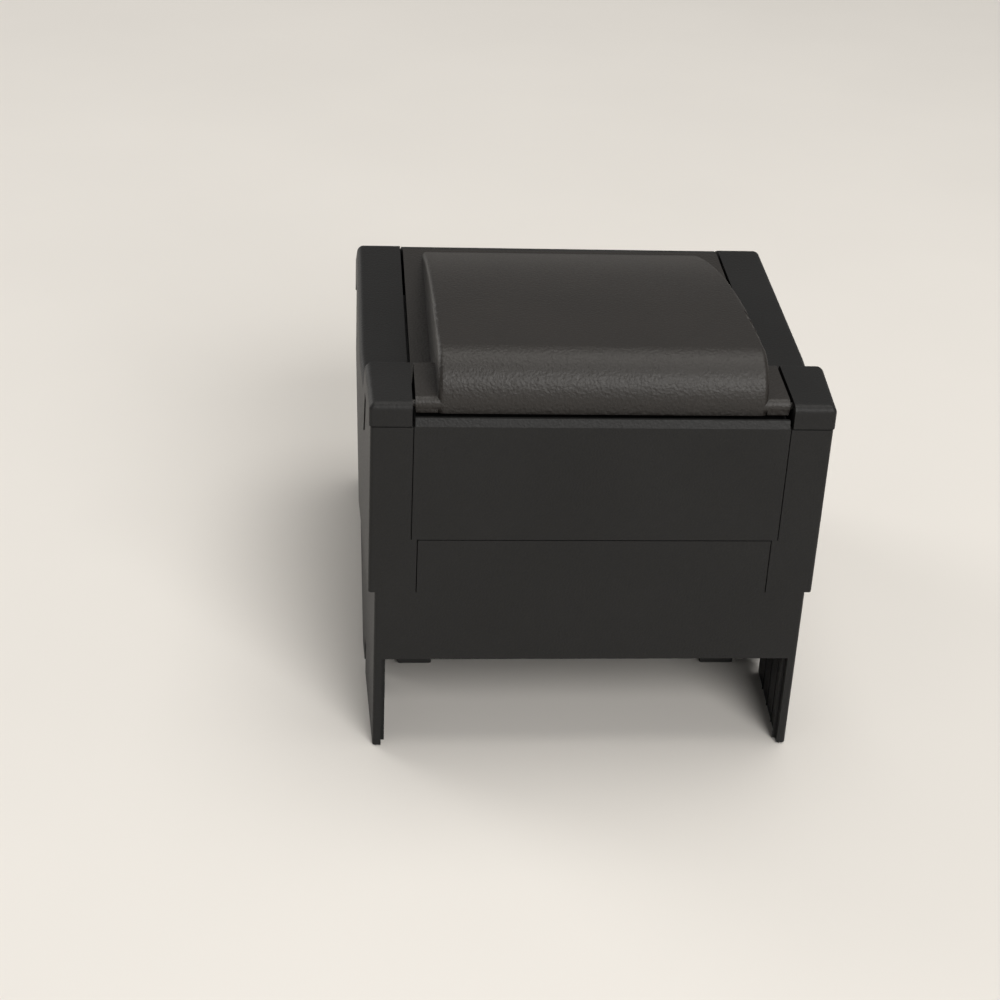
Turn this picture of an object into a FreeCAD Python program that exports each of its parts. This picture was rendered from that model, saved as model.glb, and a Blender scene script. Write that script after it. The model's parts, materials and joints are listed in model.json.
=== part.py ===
"""Free-standing thermal receipt printer with a domed lid, in millimetres.

The front faces -Y, the rear +Y and +Z is up. The origin is on the table, at the middle of the footprint.
Depths are measured forwards from the rear face, heights upwards from the table, and half widths
outwards from the middle plane.
"""
import FreeCAD
import Part
import math
import os

V = FreeCAD.Vector

# Sizes that many pieces share. BITE is how far joined forms overlap and cuts run past a face.
DEPTH = 195.0
HALF_WIDTH = 75.0
PAPER_HALF = 40.0
WALL = 2.5
SEAM = 0.3
PANEL_SEAM = 0.3
PANEL_GAP = 1.0
RUNNING = 0.05
PRESS = 0.02
BITE = 1.0

# Plan of the case: the sides draw in towards the rear
REAR_INSET = 2.5
INSET_LENGTH = 60.0
INSET_BEND_R = 120.0
FRONT_CORNER_R = 9.0
REAR_CORNER_R = 1.2

# Lower case, with two legs and a cable recess at the rear
FOOT_HEIGHT = 2.5
FOOT_HALF = 6.0
FOOT_CHAMFER = 0.8
FOOT_SIDE_INSET = 18.2
FOOT_REAR_INSET = 6.2
FOOT_FRONT_INSET = 15.0
LEG_CLEARANCE = 0.5
LEG_WALL = 2.9
LEG_DEPTH = 43.5
LEG_RIB = 0.3
LEG_RIB_DEPTHS = (12.0, 22.0, 32.0)
STEP_OVERHANG = 2.1
STEP_Z = 60.7
RECESS_DEPTH = 49.0
RECESS_TOP = 46.0
REAR_WALL_BOTTOM = 34.9
NOTCH_HEIGHT = 12.0
TONGUE_HEIGHT = 19.3

# Side covers, rear panel and front panel
SEAM_Z = 120.5
SEAM_DROP = 16.5
SEAM_LEAD = 4.0
SEAM_RAMP = 6.0
SEAM_KNEE = 5.0
PANEL_STEP = 0.7
TONGUE_STEP = 2.0
PANEL_TAB = 3.0
TAB_WALL = 2.0
TONGUE_LAP = 5.0
LEDGE_DEPTH = 14.0
LIP_RISE = 2.5
LIP_LEAN = 1.1
LIP_WALL = 1.0
FRONT_PANEL_HEIGHT = 22.9
FRONT_TAB_DROP = 5.0

# Upper case: hinge blocks at the rear, arms, and the slope down to the front
RAIL_WIDTH = 15.4
UPPER_PROUD = 0.4
UPPER_WALL = 2.2
BLOCK_RISE = 7.7
BLOCK_FALL = 1.3
BLOCK_DEPTH = 28.0
BLOCK_RAMP = 8.0
BLOCK_EDGE_R = 1.5
ARM_DROP = 3.2
ARM_ROOT_R = 5.0
CREST_RISE = 1.3
CREST_R = 4.0
FRONT_LENGTH = 50.0
FRONT_SLOPE = 26.0
TOP_EDGE_R = 2.4
CROSS_BAR_DEPTH = 6.0
CROSS_BAR_HEIGHT = 3.0

# Lid and its hinge
SLOT_WIDTH = 5.0
LID_REAR_DEPTH = 3.5
LID_WALL = 2.5
LID_GAP = 2.9
FLANGE_WIDTH = 6.9
FLANGE_WALL = 2.4
FLANGE_KNEE = 6.0
FLANGE_KNEE_R = 4.0
DOME_RISE = 20.5
DOME_CREST_DEPTH = 22.0
DOME_FRONT_SINK = 0.9
DOME_REAR_R = 14.0
DOME_EDGE_R = 1.8
KNUCKLE_R = 2.5
KNUCKLE_GAP = 2.7
HINGE_PIN_R = 1.2
HINGE_PIN_LENGTH = 12.0
HINGE_BOSS_WALL = 1.2

# Paper compartment
BIN_R = 42.0
BIN_SIDE_GAP = 1.5
BIN_WALL = 2.0
BIN_REAR_GAP = 2.0
BIN_FLOOR_GAP = 0.5
BIN_FOOT_INSETS = (4.0, 20.0)
DECK_DROP = 8.5
DECK_LAP = 1.6
DECK_GAP = 0.5
LEVER_DROP = 17.0
LEVER_LENGTH = 18.0
LEVER_WIDTH = 3.4
LEVER_WALL = 2.0
LEVER_GAP = 2.5
LEVER_PIN_R = 1.0
LEVER_HUB_R = 2.0
LEVER_NOSE = 3.0
LEVER_NOSE_HALF = 2.0
LEVER_TOE = 3.0
LEVER_PLAY = 1.0
EAR_HALF = 2.8
EAR_WALL = 1.5

# Platen and its drive
PLATEN_BACK = 8.0
PLATEN_DROP = 14.8
PLATEN_R = 6.0
PLATEN_ROOM = 0.6
SHAFT_R = 2.5
SHAFT_END = 0.8
BUSH_R = 4.0
CHEEK_GAP = 2.0
CHEEK_WALL = 2.0
CHEEK_RIM = 1.5
CHEEK_TAIL = 5.0
CHEEK_LIFT = 3.0
CARRIER_RIB = 1.6
CARRIER_RIB_X = (9.0, 28.0)
GEAR_MODULE = 0.6
PLATEN_TEETH = 24
IDLER_TEETH = 32
PINION_TEETH = 18
GEAR_WIDTH = 5.0
GEAR_SPACE = 0.8
GEAR_END = 0.6
TOOTH_TIP = 0.95
TOOTH_ROOT = 1.25
BACKLASH = 0.14
PRESSURE_ANGLE = 20.0
PINION_BEARING = 50.0
STUD_R = 1.5
STUD_HEAD_R = 2.5
STUD_HEAD = 0.8
MOTOR_R = 12.5
MOTOR_LENGTH = 18.0
MOTOR_CHAMFER = 1.2
MOTOR_SHAFT_R = 1.0
MOTOR_SHAFT_ROOM = 1.0
MOTOR_EAR_REACH = 16.5
MOTOR_EAR_HALF = 3.0
MOTOR_EAR_WALL = 1.0

# Thermal head
HEAD_LEAN = 20.0
HEAD_GAP = 0.3
HEAD_END = 1.0
HEAD_UP = 7.0
HEAD_DOWN = 7.0
HEAD_WALL = 1.2
DRIVER_INSET = 6.0
DRIVER_PROUD = 0.5
DRIVER_HEIGHT = 1.8
DRIVER_RISE = 0.6
SINK_WALL = 4.0
SINK_GROOVES = 5
SINK_GROOVE_WIDTH = 5.0
SINK_GROOVE_DEPTH = 2.2
LUG_WIDTH = 5.0
LUG_WALL = 1.3
LUG_LAP = 1.0
PIVOT_R = 1.5
PIVOT_DROP = 2.0
SPRING_X = 22.0
SPRING_WIDTH = 6.0
SPRING_WALL = 0.4
SPRING_BOW = 4.0
SPRING_HALF = 5.5
SPRING_PLAY = 0.8
SHELF_HALF = 6.0

# Cutter, laid along the front slope
CUT_LEVEL = 9.65
BLADE_WALL = 0.8
BLADE_CLEARANCE = 0.1
BLADE_SIDE_CLEARANCE = 0.3
BLADE_END = 0.5
BLADE_REST = 1.2
BLADE_VEE = 3.0
BLADE_LENGTH = 23.0
FIXED_EDGE = 0.8
FIXED_LENGTH = 9.0
FIXED_BEVEL = 0.48
BEAM_WALL = 2.7
BEAM_SET_BACK = 1.5
BEAM_TAIL = 2.0
CUTTER_PLATE_START = 3.2
CUTTER_PLATE_END = 49.0
CUTTER_PLATE_WALL = 1.3
GUIDE_WALL = 1.6
GUIDE_LIP = 1.0
RACK_MODULE = 0.7
RACK_TEETH = 7
RACK_LEAD = 1.5
RACK_HALF = 5.0
RACK_HEIGHT = 2.2
RACK_START = 12.0
CUTTER_GEAR_TEETH = 18
CUTTER_GEAR_FORWARD = 34.0
CUTTER_GEAR_FLOAT = 0.2
CUTTER_MOTOR_R = 8.0
CUTTER_MOTOR_LENGTH = 15.0
CUTTER_SHAFT_R = 1.0
CUTTER_SHAFT_ROOM = 2.0
CUTTER_EAR_GAP = 3.0
CUTTER_EAR_HALF = 3.0
CUTTER_EAR_WALL = 1.0

# Cutter cover and tear bar
CAP_WALL = 2.2
CAP_SIDE_GAP = 0.5
CAP_DROP = 6.0
CAP_EDGE_R = 1.0
TEAR_END = 1.0
TEAR_PITCH = 2.0
TEAR_REACH = 1.0
TEAR_LENGTH = 7.0
TEAR_WALL = 0.6

# Mechanism frame, its posts and the screws
FRAME_DROP = 43.0
FRAME_BEHIND = 12.0
FRAME_AHEAD = 45.5
FRAME_WALL = 1.2
FRAME_GAP = 1.0
FRAME_RISE = 2.0
FRAME_HOLE_START = 41.0
FRAME_HOLE_END = 6.0
FRAME_HOLE_RISE = 8.0
FRAME_HOLE_HEIGHT = 12.0
SEAT_CLEARANCE = 0.2
SEAT_FLARE = 14.0
SEAT_REACH = 12.0
POST_HALF = 4.0
POST_X = 38.0
POST_INSET = 7.0
SCREW_R = 1.5
SCREW_HEAD_R = 2.8
SCREW_HEAD = 1.6
SCREW_GRIP = 6.0
MOTOR_SCREW_GRIP = 1.0
CUTTER_SCREW_GRIP = 2.0

# Electrics
BOARD_RISE = 7.0
BOARD_WALL = 1.6
BOARD_SIDE_GAP = 15.0
BOARD_LENGTH = 68.0
BOARD_RAIL = 6.0
BOARD_RAIL_INSET = 5.0
CHIP_HEIGHT = 2.2
PROCESSOR_X = -2.0
PROCESSOR_HALF = 12.0
CHIP_FORWARD = 40.0
MEMORY_X = -38.0
MEMORY_HALF_X = 6.0
MEMORY_HALF_Y = 10.0
HEADER_HALF = 30.0
HEADER_INSET = 10.0
HEADER_WIDTH = 5.0
HEADER_HEIGHT = 7.0
CAN_X = 32.0
CAN_R = 4.0
CAN_HEIGHT = 12.0
CAN_FORWARDS = (30.0, 41.0)
PLATE_INSET = 5.0
CONNECTOR_PLATE_WALL = 1.0
CONNECTOR_CLEARANCE = 0.2
WINDOW_MARGIN = 3.0
WINDOW_RISE = 4.0
WINDOW_HEIGHT = 24.0
SOCKET_PROUD = 2.0
POWER_X = 36.0
POWER_HALF = 7.5
POWER_HEIGHT = 13.0
POWER_LENGTH = 14.0
POWER_COLLAR_R = 6.0
POWER_CAVITY_R = 5.0
POWER_POST_R = 3.0
POWER_POST_BACK = 1.0
POWER_CAVITY = 7.0
DRAWER_X = 14.0
DRAWER_HALF = 7.5
DRAWER_HEIGHT = 13.5
DRAWER_LENGTH = 17.0
DRAWER_CAVITY_HALF = 5.1
DRAWER_CAVITY_HEIGHT = 7.0
DRAWER_CAVITY = 12.0
LATCH_HALF = 2.2
LATCH_DEPTH = 5.0
DATA_X = -24.0
DATA_HALF = 20.0
DATA_HEIGHT = 12.6
DATA_LENGTH = 10.0
DATA_SHELL_HALF = 14.0
DATA_SHELL_HEIGHT = 8.2
DATA_TAPER = 10.0
DATA_CORNER_R = 1.5
CONTACT_ROW = 1.4
CONTACT_PITCH = 2.76
CONTACT_HALF = 0.5
CONTACT_DEPTH = 4.0
CONTACT_COUNTS = (7, 8)

# Controls on the front
FEED_X = -36.0
FEED_HALF = 8.0
FEED_HEIGHT = 9.0
FEED_SINK = 0.2
FEED_EDGE_R = 1.0
BUTTON_GAP = 0.35
BUTTON_FLANGE = 1.4
BUTTON_TRAVEL = 1.2
KEY_SWITCH_HALF = 3.0
KEY_STEM_R = 1.7
KEY_STEM = 0.8
KEY_GAP = 0.18
LENS_X = 22.0
LENS_PITCH = 10.0
LENS_COUNT = 3
LENS_HALF = 2.2
LENS_HEIGHT = 2.4
PANEL_BOARD_BACK = 6.5
PANEL_BOARD_HALF = 50.0
PANEL_BOARD_HEIGHT = 14.0
PANEL_POST_HALF = 3.0
PANEL_POST_INSET = 5.0
ROCKER_X = -46.0
ROCKER_RISE = 29.0
ROCKER_HALF = 5.2
ROCKER_HEIGHT = 17.0
ROCKER_TILT = 8.0
ROCKER_BODY = 5.0
ROCKER_DISH = 0.6
ROCKER_KEEL = 2.0
ROCKER_DRAFT = 1.0
ROCKER_PIN_R = 1.2
ROCKER_PIN_BITE = 0.9
SWITCH_WALL = 1.6
SWITCH_FLANGE = 1.2
SWITCH_BEZEL = 1.5
SWITCH_DEPTH = 13.0
SWITCH_FLOOR = 3.0
SWITCH_PIN_BITE = 1.1
RELEASE_FORWARD = 19.0
RELEASE_HALF = 4.6
RELEASE_LENGTH = 24.0
RELEASE_PROUD = 0.5
RELEASE_EDGE_R = 0.9
RELEASE_SIDE_FLANGE = 0.7
RELEASE_FLANGE = 2.0
RELEASE_STEM = 6.0
RELEASE_STEM_HALF = 2.0

# Places that follow from the sizes above
REAR_Y = DEPTH / 2
LOWER_HALF = HALF_WIDTH - STEP_OVERHANG
LOWER_FRONT = DEPTH - STEP_OVERHANG
FLOOR_Z = FOOT_HEIGHT + WALL
RECESS_WALL = RECESS_DEPTH + WALL
RECESS_ROOF = RECESS_TOP + WALL
TONGUE_TOP = STEP_Z + TONGUE_HEIGHT
SEAM_LOW_Z = SEAM_Z - SEAM_DROP
RAIL_X = HALF_WIDTH - RAIL_WIDTH
UPPER_HALF = HALF_WIDTH + UPPER_PROUD
PANEL_HALF = RAIL_X - PANEL_STEP
TONGUE_HALF = PANEL_HALF - TONGUE_STEP
FRONT_PANEL_BOTTOM = STEP_Z + SEAM
FRONT_PANEL_TOP = FRONT_PANEL_BOTTOM + FRONT_PANEL_HEIGHT
BLOCK_REAR_Z = SEAM_Z + BLOCK_RISE
BLOCK_FRONT_Z = BLOCK_REAR_Z + BLOCK_FALL
SEAM_DROP_START = BLOCK_DEPTH - SEAM_LEAD
SEAM_DROP_END = SEAM_DROP_START + SEAM_RAMP
ARM_START_DEPTH = BLOCK_DEPTH + BLOCK_RAMP
ARM_START_Z = SEAM_Z - ARM_DROP
CREST_DEPTH = DEPTH - FRONT_LENGTH
CREST_Z = SEAM_Z + CREST_RISE
LID_FRONT_DEPTH = CREST_DEPTH - SLOT_WIDTH / 2
CAP_REAR = LID_FRONT_DEPTH + SLOT_WIDTH
CAP_HALF = RAIL_X - CAP_SIDE_GAP
LID_HALF = RAIL_X - PANEL_GAP
LID_REAR_Z = SEAM_Z + LID_GAP
DOME_HALF = LID_HALF - FLANGE_WIDTH
DOME_CREST_Z = SEAM_Z + DOME_RISE
HINGE_DEPTH = LID_REAR_DEPTH + KNUCKLE_R
HINGE_Z = SEAM_Z + KNUCKLE_GAP + KNUCKLE_R
BIN_HALF = PAPER_HALF + BIN_SIDE_GAP
ROLL_DEPTH = LEDGE_DEPTH + BIN_REAR_GAP + BIN_WALL + BIN_R
ROLL_Z = RECESS_ROOF + BIN_FLOOR_GAP + BIN_WALL + BIN_R
DECK_Z = SEAM_Z - DECK_DROP
DECK_HALF = RAIL_X + DECK_LAP
LEVER_X = BIN_HALF + BIN_WALL + LEVER_GAP
LEVER_Z = ROLL_Z - LEVER_DROP
LEVER_NOSE_Z = LEVER_Z - LEVER_LENGTH + LEVER_TOE
PLATEN_DEPTH = LID_FRONT_DEPTH - PLATEN_BACK
PLATEN_Z = CREST_Z - PLATEN_DROP
CHEEK_X = PAPER_HALF + CHEEK_GAP
PLATE_X = CHEEK_X + CHEEK_WALL + FRAME_GAP
PLATE_OUT = PLATE_X + FRAME_WALL
GEAR_X = PLATE_OUT + GEAR_SPACE
FRAME_Z = PLATEN_Z - FRAME_DROP
FRAME_REAR_DEPTH = PLATEN_DEPTH - FRAME_BEHIND
FRAME_FRONT_DEPTH = PLATEN_DEPTH + FRAME_AHEAD
DECK_FRONT_DEPTH = FRAME_REAR_DEPTH - DECK_GAP
HEAD_HALF = PAPER_HALF + HEAD_END
HEAD_BACK = HEAD_WALL + SINK_WALL
BLADE_HALF = PAPER_HALF + BLADE_END
CUTTER_GEAR_X = RACK_HALF + CUTTER_GEAR_TEETH * RACK_MODULE / 2
BOARD_Z = FLOOR_Z + BOARD_RISE
BOARD_TOP = BOARD_Z + BOARD_WALL
BOARD_HALF = LOWER_HALF - LEG_WALL - BOARD_SIDE_GAP
BOARD_REAR = RECESS_WALL + CONNECTOR_PLATE_WALL + SEAM
PLATE_HALF = BOARD_HALF - PLATE_INSET
SOCKET_MOUTH = RECESS_WALL - SOCKET_PROUD
SOCKET_BACK = RECESS_WALL + CONNECTOR_PLATE_WALL
PANEL_MID_Z = (FRONT_PANEL_BOTTOM + FRONT_PANEL_TOP) / 2
PANEL_BACK = DEPTH - WALL
PANEL_BOARD_DEPTH = PANEL_BACK - PANEL_BOARD_BACK
ROCKER_Z = FLOOR_Z + ROCKER_RISE
ROCKER_AXIS = LOWER_FRONT - ROCKER_BODY / 2
SWITCH_HALF = ROCKER_HALF + BUTTON_GAP + SWITCH_WALL
SWITCH_TALL = ROCKER_HEIGHT / 2 + 2 * BUTTON_GAP + SWITCH_WALL
RELEASE_DEPTH = CREST_DEPTH + RELEASE_FORWARD
RELEASE_X = (RAIL_X + UPPER_HALF) / 2


def y_at(depth):
    return REAR_Y - depth


def span(middle, half):
    return middle - half, middle + half


def ends(item):
    return item[-2:] if len(item) == 4 else item[:2]


def corner_arc(before, corner, after, radius):
    """Start, middle and end of the arc that rounds a corner."""
    a = V(before[0] - corner[0], before[1] - corner[1], 0).normalize()
    b = V(after[0] - corner[0], after[1] - corner[1], 0).normalize()
    half = a.getAngle(b) / 2
    out = (a + b).normalize()
    tip = V(corner[0], corner[1], 0)
    middle = tip + out * (radius / math.sin(half) - radius)
    reach = radius / math.tan(half)
    return [(p.x, p.y) for p in (tip + a * reach, middle, tip + b * reach)]


def outline(items, place):
    """Closed wire. An item is a point (u, v), a rounded corner (u, v, radius) or an arc (middle, end)."""
    path = []
    for i, item in enumerate(items):
        if len(item) == 4:
            path.append((item[:2], item[2:]))
        elif len(item) == 3:
            following = items[(i + 1) % len(items)]
            start, middle, end = corner_arc(ends(items[i - 1]), item[:2], ends(following), item[2])
            path.append((None, start))
            path.append((middle, end))
        else:
            path.append((None, item))
    edges = []
    last = place(*path[-1][1])
    for middle, end in path:
        target = place(*end)
        if middle:
            edges.append(Part.Arc(last, place(*middle), target).toShape())
        elif last.distanceToPoint(target) > 1e-6:
            edges.append(Part.makeLine(last, target))
        last = target
    return Part.Wire(edges)


def side_prism(items, x0, x1):
    """Outline in (depth, height), carried across from x0 to x1."""
    wire = outline(items, lambda depth, z: V(x0, y_at(depth), z))
    return Part.Face(wire).extrude(V(x1 - x0, 0, 0))


def plan_prism(items, z0, z1):
    """Outline in (x, depth), carried up from z0 to z1."""
    wire = outline(items, lambda x, depth: V(x, y_at(depth), z0))
    return Part.Face(wire).extrude(V(0, 0, z1 - z0))


def front_prism(items, depth0, depth1):
    """Outline in (x, height), carried forwards from depth0 to depth1."""
    wire = outline(items, lambda x, z: V(x, y_at(depth0), z))
    return Part.Face(wire).extrude(V(0, depth0 - depth1, 0))


def block(x, depth, z):
    corner = V(x[0], y_at(depth[1]), z[0])
    return Part.makeBox(x[1] - x[0], depth[1] - depth[0], z[1] - z[0], corner)


def local_block(x, forward, up):
    """Block in a tilted piece's own axes: across, forwards and up from its reference point."""
    corner = V(x[0], -forward[1], up[0])
    return Part.makeBox(x[1] - x[0], forward[1] - forward[0], up[1] - up[0], corner)


def local_prism(items, up0, up1):
    """Outline in (x, forward) in a tilted piece's own axes, carried up from up0 to up1."""
    wire = outline(items, lambda x, forward: V(x, -forward, up0))
    return Part.Face(wire).extrude(V(0, 0, up1 - up0))


def local_rod(radius, x, forward, up0, up1):
    return Part.makeCylinder(radius, up1 - up0, V(x, -forward, up0))


def tilted(shape, angle, depth, z):
    """Leans a piece forwards by an angle and sets its reference point at a depth and height."""
    place = FreeCAD.Placement(V(0, y_at(depth), z), FreeCAD.Rotation(V(1, 0, 0), angle))
    moved = shape.copy()
    moved.Placement = place.multiply(moved.Placement)
    return moved


def rod_x(radius, x0, x1, depth, z):
    return Part.makeCylinder(radius, x1 - x0, V(x0, y_at(depth), z), V(1, 0, 0))


def rod_y(radius, depth0, depth1, x, z):
    return Part.makeCylinder(radius, depth1 - depth0, V(x, y_at(depth0), z), V(0, -1, 0))


def rod_z(radius, z0, z1, x, depth):
    return Part.makeCylinder(radius, z1 - z0, V(x, y_at(depth), z0), V(0, 0, 1))


def fused(shapes):
    return shapes[0].multiFuse(shapes[1:]).removeSplitter()


def both_sides(shape):
    return [shape, shape.mirror(V(0, 0, 0), V(1, 0, 0))]


def cut_all(shape, cuts):
    for cut in cuts:
        shape = shape.cut(cut)
    return shape


def side_x(half, depth):
    """Half width at a depth: the side walls draw in towards the rear."""
    share = max(0.0, INSET_LENGTH - depth) / INSET_LENGTH
    return half - REAR_INSET * share


def case_plan(half, rear, front, corner):
    """Plan of the case: straight sides that draw in at the rear, and rounded corners."""
    rear_x = side_x(half, rear)
    return [
        (rear_x, rear, REAR_CORNER_R),
        (half, INSET_LENGTH, INSET_BEND_R),
        (half, front, corner),
        (-half, front, corner),
        (-half, INSET_LENGTH, INSET_BEND_R),
        (-rear_x, rear, REAR_CORNER_R),
    ]


def slope_z(depth):
    """Height of the top surface on the front slope."""
    return CREST_Z - (depth - CREST_DEPTH) * math.tan(math.radians(FRONT_SLOPE))


def arm_z(depth):
    """Height of the top surface along the arms."""
    share = (depth - ARM_START_DEPTH) / (CREST_DEPTH - ARM_START_DEPTH)
    return ARM_START_Z + share * (CREST_Z - ARM_START_Z)


def block_z(depth):
    """Height of the top surface on the hinge blocks."""
    return BLOCK_REAR_Z + depth / BLOCK_DEPTH * BLOCK_FALL


def seam_front_z():
    """Height of the seam under the upper case, at the front face."""
    fall = (DEPTH - CREST_DEPTH - SEAM_KNEE) * math.tan(math.radians(FRONT_SLOPE))
    return SEAM_LOW_Z - fall


def lower_plan(inset):
    return case_plan(LOWER_HALF - inset, inset, LOWER_FRONT - inset, FRONT_CORNER_R - inset)


def lower_case():
    """Tub that stands on its feet and, at the rear, on two legs beside the cable recess."""
    across = span(0, HALF_WIDTH)
    outer = plan_prism(lower_plan(0.0), LEG_CLEARANCE, STEP_Z)
    under = block(across, (LEG_DEPTH, DEPTH), (0, FOOT_HEIGHT))
    inside = plan_prism(lower_plan(LEG_WALL), FLOOR_Z, STEP_Z + BITE)
    shelf = block(across, (0, RECESS_WALL), (0, RECESS_ROOF))
    below = plan_prism(lower_plan(LEG_WALL), 0, RECESS_TOP)
    recess = below.common(block(across, (0, RECESS_DEPTH), (0, RECESS_TOP)))
    mouth_half = side_x(LOWER_HALF - LEG_WALL, LEG_WALL)
    mouth = block(span(0, mouth_half), (-BITE, LEG_WALL), (0, REAR_WALL_BOTTOM))
    notch = block(across, (LEG_DEPTH, RECESS_DEPTH), (0, NOTCH_HEIGHT))
    case = cut_all(outer, [under, inside.cut(shelf), recess, mouth, notch])
    tongue = block(span(0, TONGUE_HALF), (0, WALL), (STEP_Z - BITE, TONGUE_TOP))
    case = fused([case, tongue] + posts() + board_rails() + leg_ribs())
    return cut_all(case, [connector_window(), switch_opening()] + post_holes() + rail_holes())


def leg_ribs():
    """Upright stiffening ribs on the inner faces of the two legs."""
    ribs = []
    for depth in LEG_RIB_DEPTHS:
        inner = side_x(LOWER_HALF - LEG_WALL, depth)
        x = (inner - LEG_RIB, inner + BITE)
        ribs += both_sides(block(x, (depth, depth + LEG_RIB), (LEG_CLEARANCE, RECESS_TOP)))
    return ribs


def post_depths():
    return FRAME_REAR_DEPTH + POST_INSET, FRAME_FRONT_DEPTH - POST_INSET


def posts():
    """Four posts under the mechanism."""
    up = (FLOOR_Z - BITE, FRAME_Z)
    solids = []
    for depth in post_depths():
        solids += both_sides(block(span(POST_X, POST_HALF), span(depth, POST_HALF), up))
    return solids


def frame_screw_places():
    """The front posts take the screws."""
    return [(x, post_depths()[1]) for x in (-POST_X, POST_X)]


def post_holes():
    bottom = FRAME_Z - SCREW_GRIP - BITE
    return [screw_hole(bottom, FRAME_Z + BITE, x, depth) for x, depth in frame_screw_places()]


def board_rails():
    """Two rails that the main board lies on."""
    x = span(BOARD_HALF - BOARD_RAIL_INSET, BOARD_RAIL / 2)
    return both_sides(block(x, (BOARD_REAR, BOARD_REAR + BOARD_LENGTH), (FLOOR_Z - BITE, BOARD_Z)))


def board_screw_places():
    depth = BOARD_REAR + BOARD_LENGTH - BOARD_RAIL_INSET
    return [(side * (BOARD_HALF - BOARD_RAIL_INSET), depth) for side in (-1, 1)]


def rail_holes():
    bottom = BOARD_Z - SCREW_GRIP
    return [screw_hole(bottom, BOARD_Z + BITE, x, depth) for x, depth in board_screw_places()]


def window_z():
    return FLOOR_Z + WINDOW_RISE, FLOOR_Z + WINDOW_RISE + WINDOW_HEIGHT


def connector_window():
    depth = (RECESS_DEPTH - BITE, RECESS_WALL + BITE)
    return block(span(0, PLATE_HALF - WINDOW_MARGIN), depth, window_z())


def switch_opening():
    depth = (LOWER_FRONT - LEG_WALL - BITE, LOWER_FRONT + BITE)
    return block(span(ROCKER_X, SWITCH_HALF + SEAM / 2), depth, span(ROCKER_Z, SWITCH_TALL + SEAM / 2))


def rubber_feet():
    """Four square pads with a chamfered tread, seated on the underside of the lower case."""
    solids = []
    x = span(LOWER_HALF - FOOT_SIDE_INSET, FOOT_HALF)
    for depth in (RECESS_DEPTH + FOOT_REAR_INSET, LOWER_FRONT - FOOT_FRONT_INSET):
        pad = block(x, span(depth, FOOT_HALF), (0, FOOT_HEIGHT))
        tread = [edge for edge in pad.Edges if edge.BoundBox.ZMax < RUNNING]
        solids += both_sides(pad.makeChamfer(FOOT_CHAMFER, tread))
    return Part.makeCompound(solids)


def seam_cut(clearance):
    """Everything above the line where the upper case meets the side covers."""
    line = [
        (-BITE, SEAM_Z - clearance),
        (SEAM_DROP_START, SEAM_Z - clearance),
        (SEAM_DROP_END, SEAM_LOW_Z - clearance),
        (CREST_DEPTH + SEAM_KNEE, SEAM_LOW_Z - clearance),
        (DEPTH, seam_front_z() - clearance),
        (DEPTH + BITE, seam_front_z() - clearance),
        (DEPTH + BITE, DOME_CREST_Z),
        (-BITE, DOME_CREST_Z),
    ]
    return side_prism(line, *span(0, HALF_WIDTH + UPPER_PROUD + BITE))


def side_cover(side):
    """One side shell: it wraps round the rear and front corners as far as the panels."""
    corner = FRONT_CORNER_R - WALL
    outer = plan_prism(case_plan(HALF_WIDTH, 0, DEPTH, FRONT_CORNER_R), STEP_Z, SEAM_Z)
    inner = case_plan(HALF_WIDTH - WALL, WALL, PANEL_BACK, corner)
    lip = case_plan(LOWER_HALF - LEG_WALL, WALL, PANEL_BACK, corner)
    edge = span(0, PANEL_HALF + PANEL_SEAM)
    low_edge = span(0, TONGUE_HALF + PANEL_SEAM)
    split = TONGUE_TOP + SEAM
    shell = cut_all(outer, [
        plan_prism(inner, STEP_Z + WALL, SEAM_Z + BITE),
        plan_prism(lip, STEP_Z - BITE, STEP_Z + WALL + BITE),
        seam_cut(SEAM),
        block(edge, (-BITE, REAR_Y), (split, SEAM_Z + BITE)),
        block(low_edge, (-BITE, REAR_Y), (STEP_Z - BITE, split)),
        block(edge, (REAR_Y, DEPTH + BITE), (STEP_Z - BITE, SEAM_Z)),
    ])
    keep = sorted([0, side * (HALF_WIDTH + BITE)])
    return shell.common(block(keep, (-BITE, DEPTH + BITE), (0, SEAM_Z)))


def left_side_cover():
    return side_cover(-1)


def right_side_cover():
    return side_cover(1)


def rear_panel():
    """Plain rear panel with a ledge and leaning lip below the lid, and tabs behind the side covers."""
    bottom = TONGUE_TOP + SEAM
    face = block(span(0, PANEL_HALF), (0, WALL), (bottom, SEAM_Z))
    ledge = block(span(0, PANEL_HALF), (0, LEDGE_DEPTH), (SEAM_Z - WALL, SEAM_Z))
    lip_top = SEAM_Z + LIP_RISE
    lip = side_prism([
        (0, SEAM_Z - WALL),
        (0, SEAM_Z),
        (LIP_LEAN, lip_top),
        (LIP_LEAN + LIP_WALL, lip_top),
        (LIP_LEAN + LIP_WALL, SEAM_Z - WALL),
    ], *span(0, LID_HALF))
    behind = (WALL, WALL + TAB_WALL)
    tabs = block(span(0, PANEL_HALF + PANEL_SEAM + PANEL_TAB), behind, (bottom, SEAM_Z - WALL))
    lap = block(span(0, TONGUE_HALF), behind, (bottom - TONGUE_LAP, bottom))
    return fused([face, ledge, lip, tabs, lap])


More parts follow.
